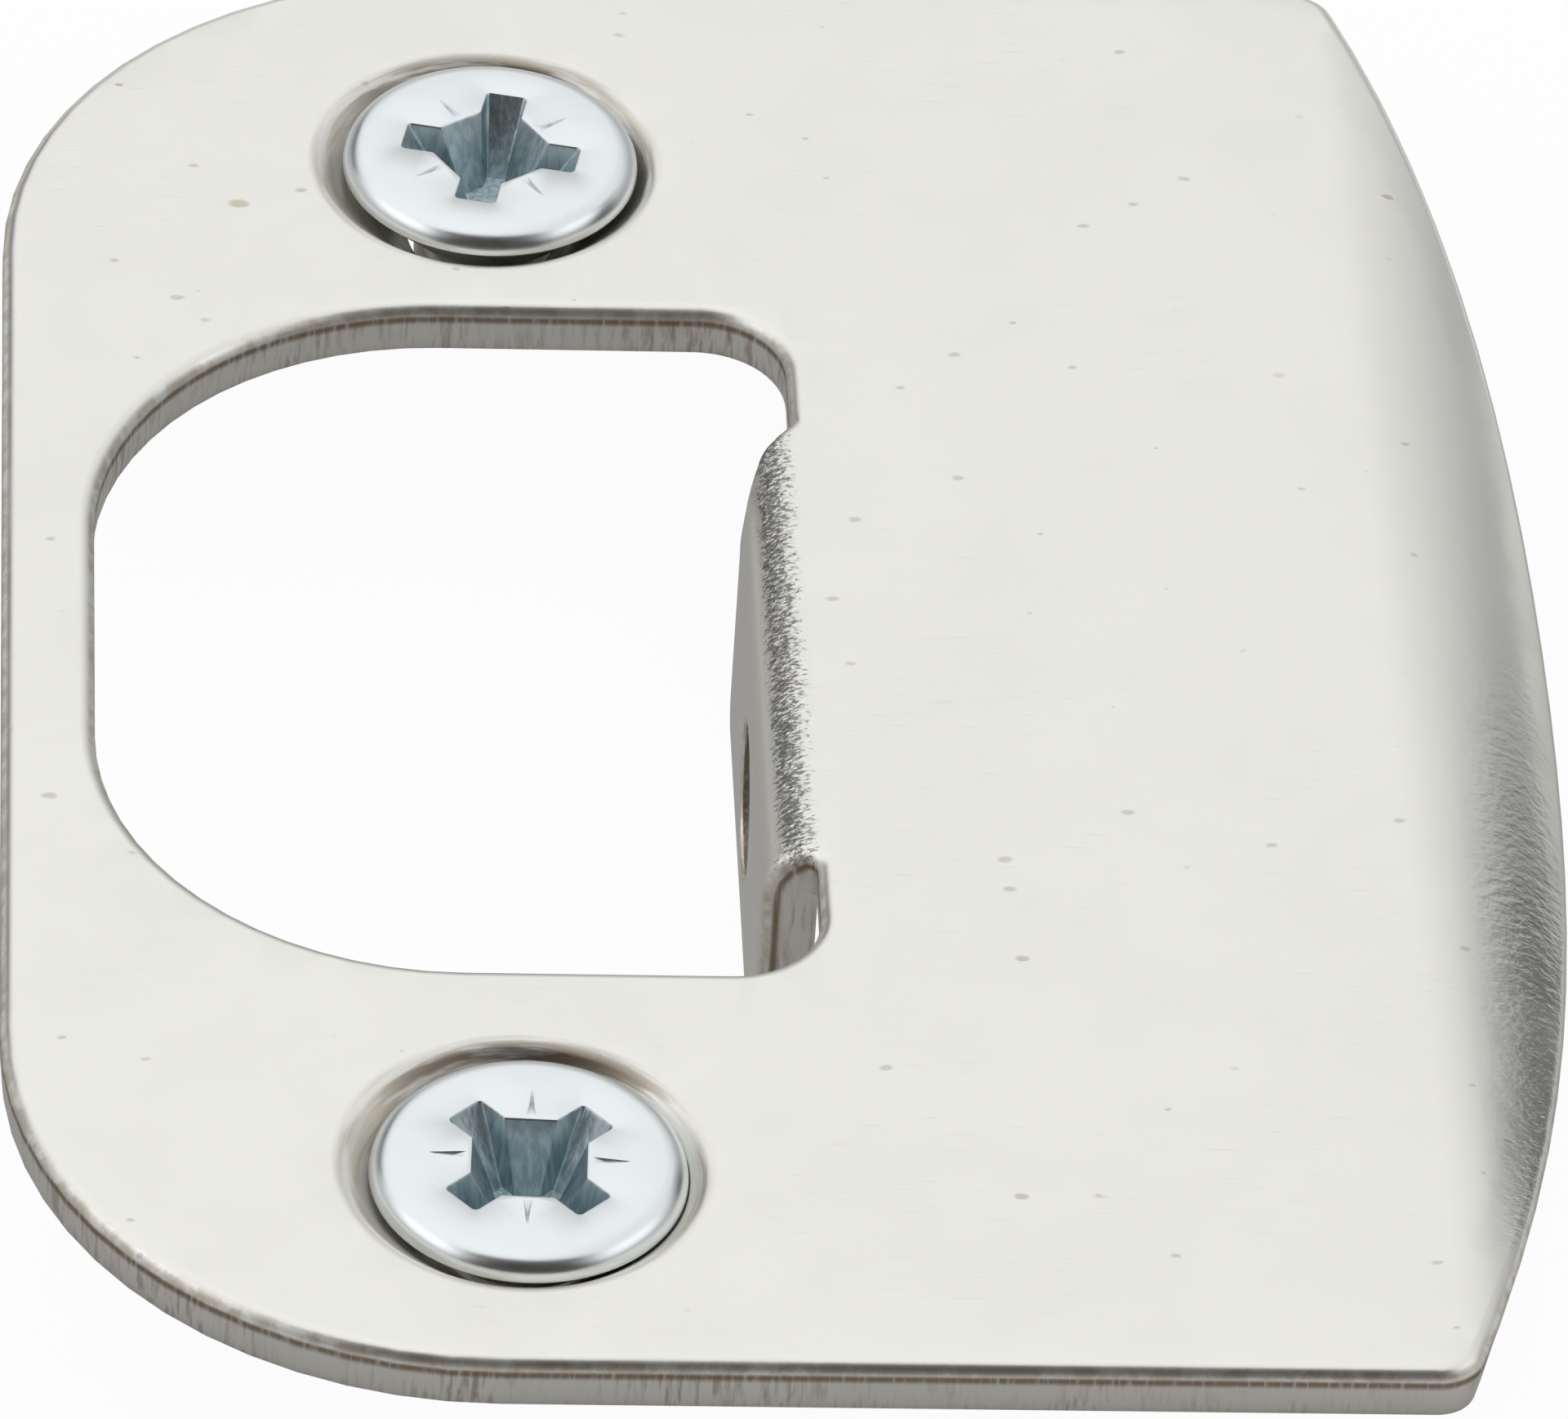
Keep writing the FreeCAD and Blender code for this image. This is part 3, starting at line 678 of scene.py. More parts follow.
def sunk(mesh, outline, levels):
    """Rings down a recess: levels are (inset, depth, share of the mouth's size left)."""
    into = inward(outline)
    middle = sum(outline, Vector((0, 0))) / len(outline)
    rings = []
    for inset, depth, share in levels:
        flat = [middle + (point + step * inset - middle) * share for point, step in zip(outline, into)]
        shade = min(1, depth / SHADE_RUN)
        ring = [screw_vertex(mesh, point.x, point.y, -depth, shade) for point in flat]
        if rings:
            bridge(mesh, rings[-1][0], ring)
        rings.append((ring, flat))
    return rings, middle


def close(mesh, ring, middle, depth):
    """The bottom of a recess: triangles from its last ring to one deepest point."""
    tip = screw_vertex(mesh, middle.x, middle.y, -depth, 1)
    for number, vertex in enumerate(ring):
        mesh.faces.new((vertex, ring[(number + 1) % len(ring)], tip))


def punched_marks(mesh):
    """The cross recess and the four ticks. Returns their mouths, each with its flat points."""
    levels = ((RECESS_EDGE, 0, 1), (RECESS_EDGE_BEND, RECESS_EDGE_BEND, 1), (0, RECESS_EDGE, 1),
              (0, RECESS_DEPTH / 2, (1 + RECESS_FOOT) / 2), (0, RECESS_DEPTH, RECESS_FOOT))
    recess, middle = sunk(mesh, cross_outline(), levels)
    close(mesh, recess[-1][0], middle, RECESS_POINT)
    mouths = [recess[0]]
    for quarter in range(4):
        outline = tick_outline(math.pi / 4 + quarter * math.pi / 2)
        tick, middle = sunk(mesh, outline, ((0, 0, 1), (0, TICK_DEPTH, TICK_FOOT)))
        close(mesh, tick[-1][0], middle, TICK_DEPTH)
        mouths.append(tick[0])
    return mouths


# %% [markdown]
# A whole screw is then the turned outside, the punched marks, and a fill between them for the head's flat
# top. The function that fills the plate's face does this as well.

# %% A whole screw
def turned_outside(mesh):
    """Rings from the shoulder to the tip's flat end. Returns the first ring and its flat points."""
    angles = [2 * math.pi * step / SCREW_SEGMENTS for step in range(SCREW_SEGMENTS)]
    rings = []
    for height, radius in screw_rings():
        spots = [(radius(angle) * math.cos(angle), radius(angle) * math.sin(angle)) for angle in angles]
        # How far below the shoulder: where painted shade goes on the cone under the head.
        under = min(1, max(0, -height - HEAD_EDGE) / SHADE_RUN)
        ring = [screw_vertex(mesh, x, y, height, grime_and_shade=under) for x, y in spots]
        if rings:
            bridge(mesh, rings[-1][0], ring)
        rings.append((ring, [Vector(spot) for spot in spots]))
    mesh.faces.new(rings[-1][0])
    return rings[0]


def screw(name, place, turn):
    mesh = bmesh.new()
    for layer in ("recess", "grime_and_shade"):
        mesh.verts.layers.float.new(layer)
    mouths = [turned_outside(mesh)] + punched_marks(mesh)
    fill(mesh, [mouth[0] for mouth in mouths], [mouth[1] for mouth in mouths], [],
         lambda point: screw_vertex(mesh, point.x, point.y, 0))
    mesh.transform(Matrix.Translation(place) @ Matrix.Rotation(turn, 4, "Z"))
    return finished_object(name, mesh, SCREW_SHARP)


# %% [markdown]
# The real screws stand loose in their seats, the upper one higher, and each is turned its own way. So one
# function makes both, and a short list gives how far each head stands above the face and how far it is
# turned.

# %% Both screws
STANDS = (("upper_screw", 0.45, -12), ("lower_screw", 0.2, 42))
screws = []
for y, (name, stand, degrees) in zip(SCREW_PLACES, STANDS):
    piece = screw(name, Vector((0, y, THICKNESS + stand)), math.radians(degrees))
    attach(piece, "root")
    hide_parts("fixing_screws")
    screws.append(piece)

# %% [markdown]
# ## Effects that the two platings share
#
# Nickel and zinc lie on the same kind of steel, so some marks are common to both: the fine grain of the
# rolling mill, small pits, and stains. Each effect is a node group, built once, that works in millimetres
# and puts out masks and heights. A small helper makes a node and joins it up in one line.

# %% Node helpers
def add(tree, kind, inputs=(), **settings):
    """A node whose inputs are linked to a socket or set to a plain value."""
    node = tree.nodes.new(f"ShaderNode{kind}")
    for name, value in settings.items():
        setattr(node, name, value)
    for name, value in dict(inputs).items():
        if isinstance(value, bpy.types.NodeSocket):
            tree.links.new(value, node.inputs[name])
        else:
            node.inputs[name].default_value = value
    return node


def maths(tree, operation, first, second=0.0):
    return add(tree, "Math", {0: first, 1: second}, operation=operation).outputs[0]


def product(tree, first, *others):
    for other in others:
        first = maths(tree, "MULTIPLY", first, other)
    return first


def between(tree, value, low, high, to_low=0.0, to_high=1.0):
    """Stretch a value from one range to another, with soft ends."""
    inputs = {"Value": value, "From Min": low, "From Max": high, "To Min": to_low, "To Max": to_high}
    return add(tree, "MapRange", inputs, interpolation_type="SMOOTHSTEP").outputs["Result"]


def blended(tree, share, first, second):
    """A colour between two others."""
    node = add(tree, "Mix", {0: share}, data_type="RGBA")
    for socket, value in ((node.inputs[6], first), (node.inputs[7], second)):
        if isinstance(value, bpy.types.NodeSocket):
            tree.links.new(value, socket)
        else:
            socket.default_value = (*value, 1)
    return node.outputs[2]


def stretched(tree, places, factors):
    return add(tree, "VectorMath", {0: places, 1: factors}, operation="MULTIPLY").outputs[0]


def noise(tree, places, scale=1.0, detail=2.0, roughness=0.5):
    """A cloudy value over the surface."""
    inputs = {"Vector": places, "Scale": scale, "Detail": detail, "Roughness": roughness}
    return add(tree, "TexNoise", inputs).outputs["Fac"]


def effect(name, inputs, outputs):
    """An empty node group with a vector called Places and its other named sockets."""
    group = bpy.data.node_groups.new(name, "ShaderNodeTree")
    group.interface.new_socket("Places", in_out="INPUT", socket_type="NodeSocketVector")
    for label, value in inputs.items():
        socket = group.interface.new_socket(label, in_out="INPUT", socket_type="NodeSocketFloat")
        socket.default_value = value
    for label in outputs:
        group.interface.new_socket(label, in_out="OUTPUT", socket_type="NodeSocketFloat")
    return group, group.nodes.new("NodeGroupInput").outputs, group.nodes.new("NodeGroupOutput").inputs


# %% Mill grain
GRAIN_STRETCH = (0.4, 5, 5)
SCRATCH_STRETCH = (0.7, 9, 9)


def mill_grain():
    """Fine lines along the sheet, and a few longer scratches."""
    group, given, result = effect("mill_grain", {"Scratches": 0.5}, ("Height", "Scratch"))
    lines = noise(group, stretched(group, given["Places"], GRAIN_STRETCH), detail=1.0, roughness=0.6)
    marks = noise(group, stretched(group, given["Places"], SCRATCH_STRETCH), scale=1.3)
    patches = noise(group, given["Places"], scale=0.12)
    scratch = product(group, between(group, marks, 0.66, 0.74), between(group, patches, 0.45, 0.62))
    group.links.new(product(group, scratch, given["Scratches"]), result["Scratch"])
    group.links.new(lines, result["Height"])
    return group


# %% Pits
PIT_WOBBLE = (0.12, 0.12, 0.12)
PIT_STRETCH = (0.75, 1.3, 1.0)


def pits():
    """Scattered small pits: each cell of a pattern may hold one, of its own size and shade."""
    group, given, result = effect("pits", {"Cell": 2.4, "Share": 0.3, "Size": 0.1}, ("Pit", "Shade"))
    wobble = add(group, "TexNoise", {"Vector": given["Places"], "Scale": 3.0, "Detail": 2.0})
    shift = stretched(group, wobble.outputs["Color"], PIT_WOBBLE)
    moved = add(group, "VectorMath", {0: given["Places"], 1: shift}, operation="ADD").outputs[0]
    flat = stretched(group, moved, PIT_STRETCH)
    cells = add(group, "TexVoronoi", {"Vector": flat, "Scale": maths(group, "DIVIDE", 1.0, given["Cell"])})
    chance = add(group, "SeparateColor", {"Color": cells.outputs["Color"]})
    chosen = maths(group, "LESS_THAN", chance.outputs["Red"], given["Share"])
    reach = product(group, given["Size"], maths(group, "ADD", chance.outputs["Green"], 0.35))
    edge = maths(group, "DIVIDE", cells.outputs["Distance"], reach)
    group.links.new(product(group, between(group, edge, 1.0, 0.45), chosen), result["Pit"])
    group.links.new(chance.outputs["Blue"], result["Shade"])
    return group


# %% Stains
def stains():
    """Soft uneven patches, from large to small."""
    group, given, result = effect("stains", {"Scale": 0.3}, ("Stain",))
    cloud = noise(group, given["Places"], given["Scale"], detail=6.0, roughness=0.62)
    group.links.new(between(group, cloud, 0.35, 0.7), result["Stain"])
    return group


grain_group, pit_group, stain_group = mill_grain(), pits(), stains()
print("node groups:", [group.name for group in (grain_group, pit_group, stain_group)])

# %% [markdown]
# ## Nickel plating
#
# The plate's finish is satin nickel: a warm, pale metal with soft reflections. The face has fine grain, a
# few scratches and scattered pits, some of them brownish. The lip's wide bend has stretched the plating,
# like orange peel, and the tab's tight bend has cracked it. The cut edges are duller and darker, with
# streaks from the die and brown stains where the steel tore. Painted masks could say where each of these
# belongs. The numbers that ride on the vertices do it here, because they come from the shape itself. The
# first cell starts a material, and the next ones fill it.

# %% Start of a plated material
BUMP_UNIT = 0.012 * MM


def plated(name):
    """A metal material with its tree, shader and surface places in millimetres."""
    material = bpy.data.materials.new(name)
    material.use_nodes = True
    tree = material.node_tree
    shader = tree.nodes["Principled BSDF"]
    shader.inputs["Metallic"].default_value = 1
    places = add(tree, "VectorMath", {0: add(tree, "TexCoord").outputs["Object"], "Scale": 1 / MM},
                 operation="SCALE").outputs[0]
    return material, tree, shader, places


def use(tree, group, places, **values):
    """A shared effect with its own values."""
    node = add(tree, "Group", node_tree=group)
    tree.links.new(places, node.inputs["Places"])
    for name, value in values.items():
        node.inputs[name].default_value = value
    return node.outputs


def carried(tree, name):
    """A number that rides on the vertices."""
    return add(tree, "Attribute", attribute_name=name).outputs["Fac"]


def bumped(tree, heights):
    """A normal from several heights: each is a value, an amount and, where it has one, a mask."""
    total = 0.0
    for height in heights:
        total = maths(tree, "ADD", product(tree, *height), total)
    bump = add(tree, "Bump", {"Height": total, "Distance": BUMP_UNIT, "Strength": 1.0})
    return bump.outputs["Normal"]


def feed(tree, shader, values):
    """Link values to a shader's named sockets."""
    for name, value in values.items():
        tree.links.new(value, shader.inputs[name])


# %% Face and cut edge of the nickel
NICKEL = (0.865, 0.858, 0.815)
PIT_GREY = (0.56, 0.55, 0.51)
PIT_BROWN = (0.62, 0.55, 0.41)
CRACK = (0.16, 0.155, 0.145)
CUT_STEEL = (0.77, 0.755, 0.72)
CUT_BROWN = (0.24, 0.18, 0.12)
SPECK_STRETCH = (5.0, 9.0, 5.0)


def face_colour(tree, places, cracked, grain, small, large):
    """Nickel with its pits, scratches and, in the tab's bend, dark specks where the plating cracked."""
    colour = NICKEL
    for pit, weight in ((small, 0.7), (large, 0.85)):
        shade = blended(tree, between(tree, pit["Shade"], 0.35, 0.6), PIT_GREY, PIT_BROWN)
        colour = blended(tree, product(tree, pit["Pit"], weight), colour, shade)
    colour = blended(tree, product(tree, grain["Scratch"], 0.4), colour, PIT_GREY)
    specks = noise(tree, stretched(tree, places, SPECK_STRETCH), detail=3.0, roughness=0.7)
    spread = maths(tree, "ADD", specks, product(tree, cracked, 0.2))
    crack = product(tree, between(tree, spread, 0.58, 0.72), between(tree, cracked, 0, 0.3))
    return blended(tree, product(tree, crack, 0.85), colour, CRACK)


def edge_colour(tree, cut, streaks, stain):
    """Bare steel of the cut edges, brown where it tore, and a brown line under the roll: stain and painted
    dark reflection.
    """
    torn = product(tree, between(tree, streaks, 0.45, 0.7), stain)
    colour = blended(tree, product(tree, torn, 0.7), CUT_STEEL, CUT_BROWN)
    # A brown line where the roll meets the wall: partly stain, partly painted dark reflection.
    line = maths(tree, "SUBTRACT", between(tree, cut, 0.38, 0.52), between(tree, cut, 0.62, 0.76))
    broken = between(tree, streaks, 0.3, 0.5, 0.45, 0.9)
    return blended(tree, product(tree, line, broken), colour, CUT_BROWN)


# %% [markdown]
# Brown dirt has gathered on the rolled edges and in the dimples. There it follows the rings that the punch
# left. A plain cloudy texture has no rings, so this one is stretched: it changes fast with the distance
# from the screw's axis and slowly along the ring. The far side of each dimple is darker, with dark dirt and
# painted shade in one colour, and the dirt is matt on the left side.

# %% Dirt on the nickel
ROLL_BROWN = (0.6, 0.55, 0.46)
GRIME = (0.62, 0.575, 0.48)
# Dark brown for the dimples' far walls: dark dirt and painted shade in one colour.
DARK_GRIME_AND_SHADE = (0.17, 0.135, 0.1)
RING_STRETCH = (5.0, 0.4, 0.4)


def seat_rings(tree, places):
    """Streaks that run round the dimples, where the punch turned the skin, and masks of two sides."""
    place = add(tree, "SeparateXYZ", {0: places}).outputs
    half_way = (SCREW_PLACES[0] + SCREW_PLACES[1]) / 2
    across = maths(tree, "SUBTRACT", place["X"], DIMPLE_SHIFT)
    height = maths(tree, "SUBTRACT", place["Y"], half_way)
    along = maths(tree, "SUBTRACT", maths(tree, "ABSOLUTE", height), SCREW_PLACES[0] - half_way)
    squares = [maths(tree, "POWER", value, 2.0) for value in (across, along)]
    radius = maths(tree, "SQRT", maths(tree, "ADD", *squares))
    turned_places = add(tree, "CombineXYZ", {0: radius, 1: across, 2: along}).outputs[0]
    rings = noise(tree, stretched(tree, turned_places, RING_STRETCH), detail=3.0)
    left_side = between(tree, maths(tree, "DIVIDE", across, radius), 0.1, -0.75)
    upward = product(tree, along, maths(tree, "SIGN", height))
    # The far side of each dimple, where painted shade joins the dirt.
    far_side = between(tree, maths(tree, "DIVIDE", upward, radius), 0.45, 0.9)
    return rings, left_side, far_side


def grimy_and_shaded(tree, places, colour, cut, grime_and_shade, rings, far_side):
    """Brown dirt on a colour: a broken film on the rolls, streaks round the dimples, painted shade on their
    far walls.
    """
    dirt = noise(tree, places, scale=1.6, detail=5.0, roughness=0.65)
    film = product(tree, between(tree, dirt, 0.38, 0.6), between(tree, cut, 0.02, 0.2))
    colour = blended(tree, product(tree, film, 0.8), colour, ROLL_BROWN)
    heavy = product(tree, between(tree, rings, 0.38, 0.62, 0.1, 0.9), grime_and_shade)
    colour = blended(tree, heavy, colour, GRIME)
    # On the far walls: dark dirt and painted shade together.
    far_dirt_and_shade = product(tree, grime_and_shade, far_side, between(tree, rings, 0.34, 0.58, 0.3, 0.95))
    return blended(tree, far_dirt_and_shade, colour, DARK_GRIME_AND_SHADE)


# %% [markdown]
# Now the parts of the finish come together. Colour, dullness and height use the same masks, so a streak is
# at once brown, dull and rough. The heights are only hundredths of a millimetre: they bend the
# reflections, and the shape stays in the mesh.

# %% The whole nickel finish
STREAK_STRETCH = (7, 7, 0.8)
PEEL_STRETCH = (2.8, 3.8, 2.8)
GRAINS_STRETCH = (5.0, 8.0, 8.0)
NICKEL_ROUGHNESS = (0.285, 0.33)
CUT_DULLNESS = 0.16
GRIME_DULLNESS = 0.06
MATT_SHARE = 0.75


def nickel():
    material, tree, shader, places = plated("satin_nickel")
    cut, grime_and_shade = carried(tree, "cut_edge"), carried(tree, "grime_and_shade")
    stretched_skin, cracked_skin = carried(tree, "lip_strain"), carried(tree, "tab_strain")
    grain = use(tree, grain_group, places, Scratches=0.5)
    small = use(tree, pit_group, places, Cell=1.3, Share=0.5, Size=0.12)
    large = use(tree, pit_group, places, Cell=3.0, Share=0.5, Size=0.08)
    stain = use(tree, stain_group, places, Scale=0.25)["Stain"]
    streaks = noise(tree, stretched(tree, places, STREAK_STRETCH), detail=4.0)
    rings, left_side, far_side = seat_rings(tree, places)
    face = face_colour(tree, places, cracked_skin, grain, small, large)
    dirty_and_shaded_face = grimy_and_shaded(tree, places, face, cut, grime_and_shade, rings, far_side)
    edge = edge_colour(tree, cut, streaks, stain)
    dull_cut = product(tree, between(tree, cut, 0, 0.3), CUT_DULLNESS)
    dull = maths(tree, "ADD", dull_cut, product(tree, grime_and_shade, GRIME_DULLNESS))
    peel = noise(tree, stretched(tree, places, PEEL_STRETCH), roughness=0.6)
    grains = noise(tree, stretched(tree, places, GRAINS_STRETCH), roughness=0.7)
    heights = ((grain["Height"], 0.12), (peel, 3.0, stretched_skin), (grains, 6.0, cracked_skin),
               (streaks, 1.5, cut), (rings, 3.0, grime_and_shade), (small["Pit"], -0.3), (large["Pit"], -0.8))
    feed(tree, shader, {
        "Base Color": blended(tree, between(tree, cut, 0.3, 0.6), dirty_and_shaded_face, edge),
        "Metallic": maths(tree, "SUBTRACT", 1.0, product(tree, grime_and_shade, left_side, MATT_SHARE)),
        "Roughness": maths(tree, "ADD", between(tree, stain, 0, 1, *NICKEL_ROUGHNESS), dull),
        "Normal": bumped(tree, heights),
    })
    print(f"{material.name}: {len(tree.nodes)} nodes")
    return material


plate.data.materials.append(nickel())

# %% [markdown]
# ## Zinc plating
#
# The screws are bright zinc: cooler and shinier than the nickel, with a faint blue. Their recess is darker,
# with painted shade on its walls and streaks down them where the punch slid out, and the cone under the
# head has painted shade too. The effects are the same groups with smaller values. Again, numbers on the
# vertices say where the recess and the cone are.

# %% Zinc
ZINC = (0.845, 0.885, 0.9)
ZINC_SHADE = (0.6, 0.66, 0.69)
# Painted shade on the recess walls, over the zinc's blue tint, with paler streaks.
SHADED_RECESS_TEAL = (0.38, 0.49, 0.525)
SHADED_RECESS_PALE = (0.62, 0.7, 0.735)
# Painted shade on the cone under the head and in the gap round it.
UNDER_HEAD_SHADE = (0.36, 0.34, 0.3)
WALL_STRETCH = (6, 6, 0.5)
ZINC_ROUGHNESS = (0.28, 0.31)
RECESS_DULLNESS = 0.1


def zinc():
    material, tree, shader, places = plated("bright_zinc")
    recess, under = carried(tree, "recess"), carried(tree, "grime_and_shade")
    grain = use(tree, grain_group, places, Scratches=0.6)
    pit = use(tree, pit_group, places, Cell=1.6, Share=0.25, Size=0.06)
    stain = use(tree, stain_group, places, Scale=0.8)["Stain"]
    face = blended(tree, product(tree, pit["Pit"], 0.4), ZINC, ZINC_SHADE)
    streaks = noise(tree, stretched(tree, places, WALL_STRETCH), detail=3.0)
    # The recess walls: painted shade, streaked.
    walls = blended(tree, between(tree, streaks, 0.35, 0.65), SHADED_RECESS_TEAL, SHADED_RECESS_PALE)
    top = blended(tree, recess, face, walls)
    dull = product(tree, maths(tree, "MAXIMUM", recess, under), RECESS_DULLNESS)
    feed(tree, shader, {
        "Base Color": blended(tree, product(tree, under, 0.9), top, UNDER_HEAD_SHADE),
        "Roughness": maths(tree, "ADD", between(tree, stain, 0, 1, *ZINC_ROUGHNESS), dull),
        "Normal": bumped(tree, ((grain["Height"], 0.05), (streaks, 2.0, recess))),
    })
    print(f"{material.name}: {len(tree.nodes)} nodes")
    return material


bright_zinc = zinc()
for piece in screws:
    piece.data.materials.append(bright_zinc)

# %% [markdown]
# ## Camera
#
# The camera was found by fitting the part's outline to the photograph's: it looks down on the face from
# close to 40 degrees, a little from the left, through a long lens. It could be aimed with a constraint.
# Its three axes are worked out here instead, so that the roll is exact.

# %% Camera
CAMERA_ELEVATION = math.radians(39.82)
CAMERA_TURN = math.radians(-4.808)
CAMERA_ROLL = math.radians(3.943)
CAMERA_DISTANCE = 371.295 * MM
CAMERA_LENS = 324.97
CAMERA_SENSOR = 36
CAMERA_CLIP = 10 * MM
CAMERA_TARGET = Vector((7.154, -3.174, 1.5)) * MM

backward = Vector((math.sin(CAMERA_TURN) * math.cos(CAMERA_ELEVATION),
                   -math.cos(CAMERA_TURN) * math.cos(CAMERA_ELEVATION), math.sin(CAMERA_ELEVATION)))
level = Vector((0, 0, 1)).cross(backward).normalized()
upward = backward.cross(level)
sideways = level * math.cos(CAMERA_ROLL) + upward * math.sin(CAMERA_ROLL)
upright = upward * math.cos(CAMERA_ROLL) - level * math.sin(CAMERA_ROLL)
camera_data = bpy.data.cameras.new("camera")
camera_data.lens = CAMERA_LENS
camera_data.sensor_fit = "HORIZONTAL"
camera_data.sensor_width = CAMERA_SENSOR
camera_data.clip_start = CAMERA_CLIP
camera = bpy.data.objects.new("camera", camera_data)
turned = Matrix((sideways, upright, backward)).transposed().to_4x4()
camera.matrix_world = Matrix.Translation(CAMERA_TARGET + backward * CAMERA_DISTANCE) @ turned
scene.collection.objects.link(camera)
scene.camera = camera
print("camera at", [round(c / MM, 1) for c in camera.location], "mm")

# %% [markdown]
# ## Floor
#
# The photograph stands on plain white. The floor's own colour is white, and most of what the camera sees
# of it is an even white glow, so that the shadow stays faint. Reflections see a grey glow in its place,
# darker close round the part: painted shade of the part on what it lies on, and a metal edge mirrors it.

# %% Floor
FLOOR_SIZE = 4.0
FLOOR_GAP = 0.3 * MM
FLOOR_GLOW = 0.95
FLOOR_WHITE = (0.9, 0.9, 0.9)
# Grey that reflections see close round the part: painted shade of the part on what it lies on.
MAT_NEAR_SHADE = (0.35, 0.345, 0.335)
MAT_FAR = (0.8, 0.8, 0.79)
MAT_INSIDE = 42 * MM
MAT_OUTSIDE = 70 * MM
SQUARE = ((-1, -1), (1, -1), (1, 1), (-1, 1))


def sheet_object(name, corners):
    """One flat face that belongs to the stage, not to the part."""
    data = bpy.data.meshes.new(name)
    data.from_pydata(corners, [], [(0, 1, 2, 3)])
    flat = bpy.data.objects.new(name, data)
    scene.collection.objects.link(flat)
    return flat


def matt(name, colour):
    """A plain dull material."""
    material = bpy.data.materials.new(name)
    material.use_nodes = True
    shader = material.node_tree.nodes["Principled BSDF"]
    shader.inputs["Base Color"].default_value = (*colour, 1)
    shader.inputs["Roughness"].default_value = 1
    shader.inputs["Specular IOR Level"].default_value = 0
    return material


def white_floor():
    material = matt("white_floor", FLOOR_WHITE)
    tree = material.node_tree
    path = add(tree, "LightPath").outputs
    seen = maths(tree, "MAXIMUM", path["Is Camera Ray"], path["Is Glossy Ray"])
    seen = maths(tree, "MAXIMUM", seen, path["Is Transmission Ray"])
    places = add(tree, "TexCoord").outputs["Object"]
    away = add(tree, "VectorMath", {0: places}, operation="LENGTH").outputs["Value"]
    # Painted shade close round the part, lighter further out, for reflections only.
    mat = blended(tree, between(tree, away, MAT_INSIDE, MAT_OUTSIDE), MAT_NEAR_SHADE, MAT_FAR)
    colour = blended(tree, path["Is Glossy Ray"], (1, 1, 1), mat)
    glow = add(tree, "Emission", {"Color": colour, "Strength": 1.0})
    mix = add(tree, "MixShader", {0: product(tree, seen, FLOOR_GLOW), 2: glow.outputs[0]})
    tree.links.new(tree.nodes["Principled BSDF"].outputs[0], mix.inputs[1])
    tree.links.new(mix.outputs[0], tree.nodes["Material Output"].inputs["Surface"])
    return material


half = FLOOR_SIZE / 2
floor_height = cad_box[0][2] - FLOOR_GAP
floor = sheet_object("floor", [(x * half, y * half, floor_height) for x, y in SQUARE])
floor.data.materials.append(white_floor())
print(f"floor {FLOOR_SIZE} m wide, at {floor_height / MM:.1f} mm")

# %% [markdown]
# ## Light
#
# Metal looks like what it reflects, so most of the work is in the surroundings. The studio is white
# overhead, grey near the horizon and a little darker on the right. The flat face mirrors the white part.
# The lip and the tab turn towards the grey part, and that is what shows their bends. A photographed sky
# could do the same. A ramp from the horizon up is enough here, and it stays easy to change.

# %% World
SKY_STOPS = ((0.0, 0.4), (0.2, 0.5), (0.42, 0.76), (0.58, 1.0))
SHADED_SIDE = (0.08, 0.28)
SIDE_SHADE = 0.14


def studio():
    world = bpy.data.worlds.new("studio")
    world.use_nodes = True
    tree = world.node_tree
    direction = add(tree, "SeparateXYZ", {0: add(tree, "TexCoord").outputs["Generated"]}).outputs
    ramp = add(tree, "ValToRGB", {0: direction["Z"]})
    ramp.color_ramp.interpolation = "EASE"
    while len(ramp.color_ramp.elements) < len(SKY_STOPS):
        ramp.color_ramp.elements.new(0.5)
    for stop, (place, grey) in zip(ramp.color_ramp.elements, SKY_STOPS):
        stop.position = place
        stop.color = (grey, grey, grey, 1)
    path = add(tree, "LightPath").outputs
    shade = between(tree, direction["X"], *SHADED_SIDE, 0.0, SIDE_SHADE)
    sky = blended(tree, shade, ramp.outputs["Color"], (0, 0, 0))
    backdrop = blended(tree, path["Is Camera Ray"], sky, (1, 1, 1))
    tree.links.new(backdrop, tree.nodes["Background"].inputs["Color"])
    return world


scene.world = studio()
print(f"{scene.world.name}: {len(SKY_STOPS)} grey levels from the horizon up")

# %% [markdown]
# Product photographers stand dark cards round metal, where it mirrors them. Only reflections see the cards
# here. The front card darkens the rounds that face the camera: the near shoulders of the screws, the far
# walls of the dimples and the rolled edges. The back card darkens the tab's bend and the rounds that face
# left. The two small cards close to the lip make the dark band along its bend.

# %% Cards
def card(name, centre, across, along, colour):
    """A flat card that only reflections see: half its width and half its height are vectors."""
    centre, across, along = Vector(centre), Vector(across), Vector(along)
    flat = sheet_object(name, [centre + across * i + along * j for i, j in SQUARE])
    flat.data.materials.append(matt(name, colour))
    flat.visible_camera = False
    flat.visible_shadow = False
    flat.visible_diffuse = False
    print(f"{name}: {2 * across.length / MM:.0f} by {2 * along.length / MM:.0f} mm")


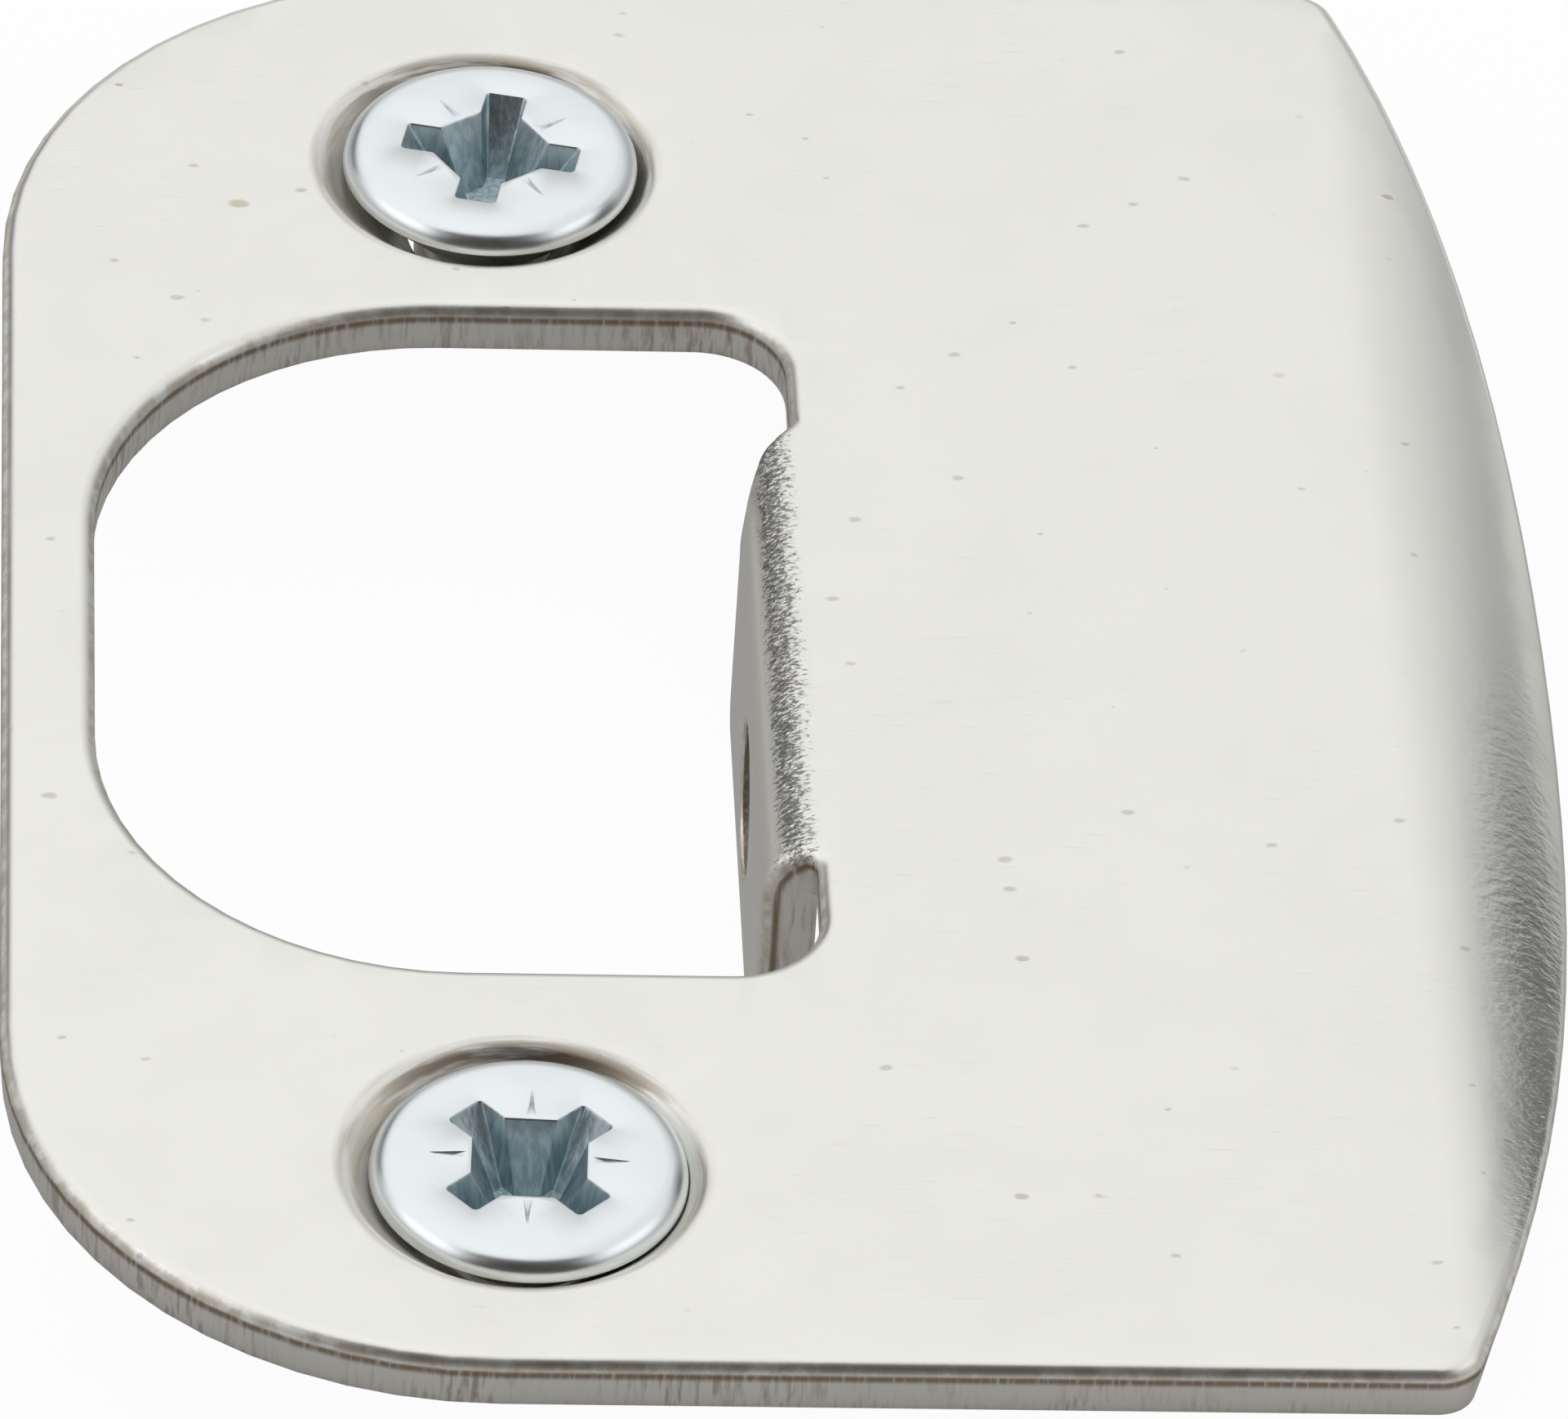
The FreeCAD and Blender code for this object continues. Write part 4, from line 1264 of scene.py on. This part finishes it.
card("dark_front_card", (0, -0.42, 0.4), (0.48, 0, 0), (0, 0.12, 0.405), (0.035, 0.026, 0.02))
card("dark_back_card", (-0.26, 0.38, 0.15), (0.12, 0.083, 0), (0, 0, 0.07), (0.04, 0.04, 0.04))
card("dark_lip_card", (0.056, 0.0172, 0.012), (0, 0.0117, 0), (0, 0.0045, 0.0135), (0.04, 0.04, 0.04))
card("dark_corner_card", (0.056, 0.032, 0.038), (0, 0.008, 0), (0, 0.01, 0.013), (0.08, 0.08, 0.08))

# %% [markdown]
# Two softboxes stand in front, to the left and right of the camera. The flat face doesn't mirror them, but
# every rounded edge does: they put soft lights on the screws' shoulders, in the dimples and at the
# corners.

# %% Softboxes
SOFTBOX_RADIANCE = 0.35
SOFTBOX_WIDTH = 0.64
SOFTBOX_HEIGHT = 0.33
SOFTBOX_AZIMUTH = 68
SOFTBOX_ELEVATION = 34
SOFTBOX_DISTANCE = 0.6


def softbox(name, azimuth):
    """An area lamp that faces the origin. Azimuth 0 is the camera's side, and 90 is +X."""
    lamp = bpy.data.lights.new(name, "AREA")
    lamp.shape = "RECTANGLE"
    lamp.size = SOFTBOX_WIDTH
    lamp.size_y = SOFTBOX_HEIGHT
    lamp.energy = SOFTBOX_RADIANCE * math.pi * SOFTBOX_WIDTH * SOFTBOX_HEIGHT
    stand = bpy.data.objects.new(name, lamp)
    turn = math.radians(azimuth)
    rise = math.radians(SOFTBOX_ELEVATION)
    across = math.cos(rise)
    direction = Vector((math.sin(turn) * across, -math.cos(turn) * across, math.sin(rise)))
    stand.location = direction * SOFTBOX_DISTANCE
    stand.rotation_euler = direction.to_track_quat("Z", "Y").to_euler()
    scene.collection.objects.link(stand)
    print(f"{name}: {lamp.energy:.2f} W")


softbox("right_softbox", SOFTBOX_AZIMUTH)
softbox("left_softbox", -SOFTBOX_AZIMUTH)

# %% [markdown]
# ## Colour view
#
# The last cell sets the standard view transform.

# %% Colour view
scene.view_settings.view_transform = "Standard"
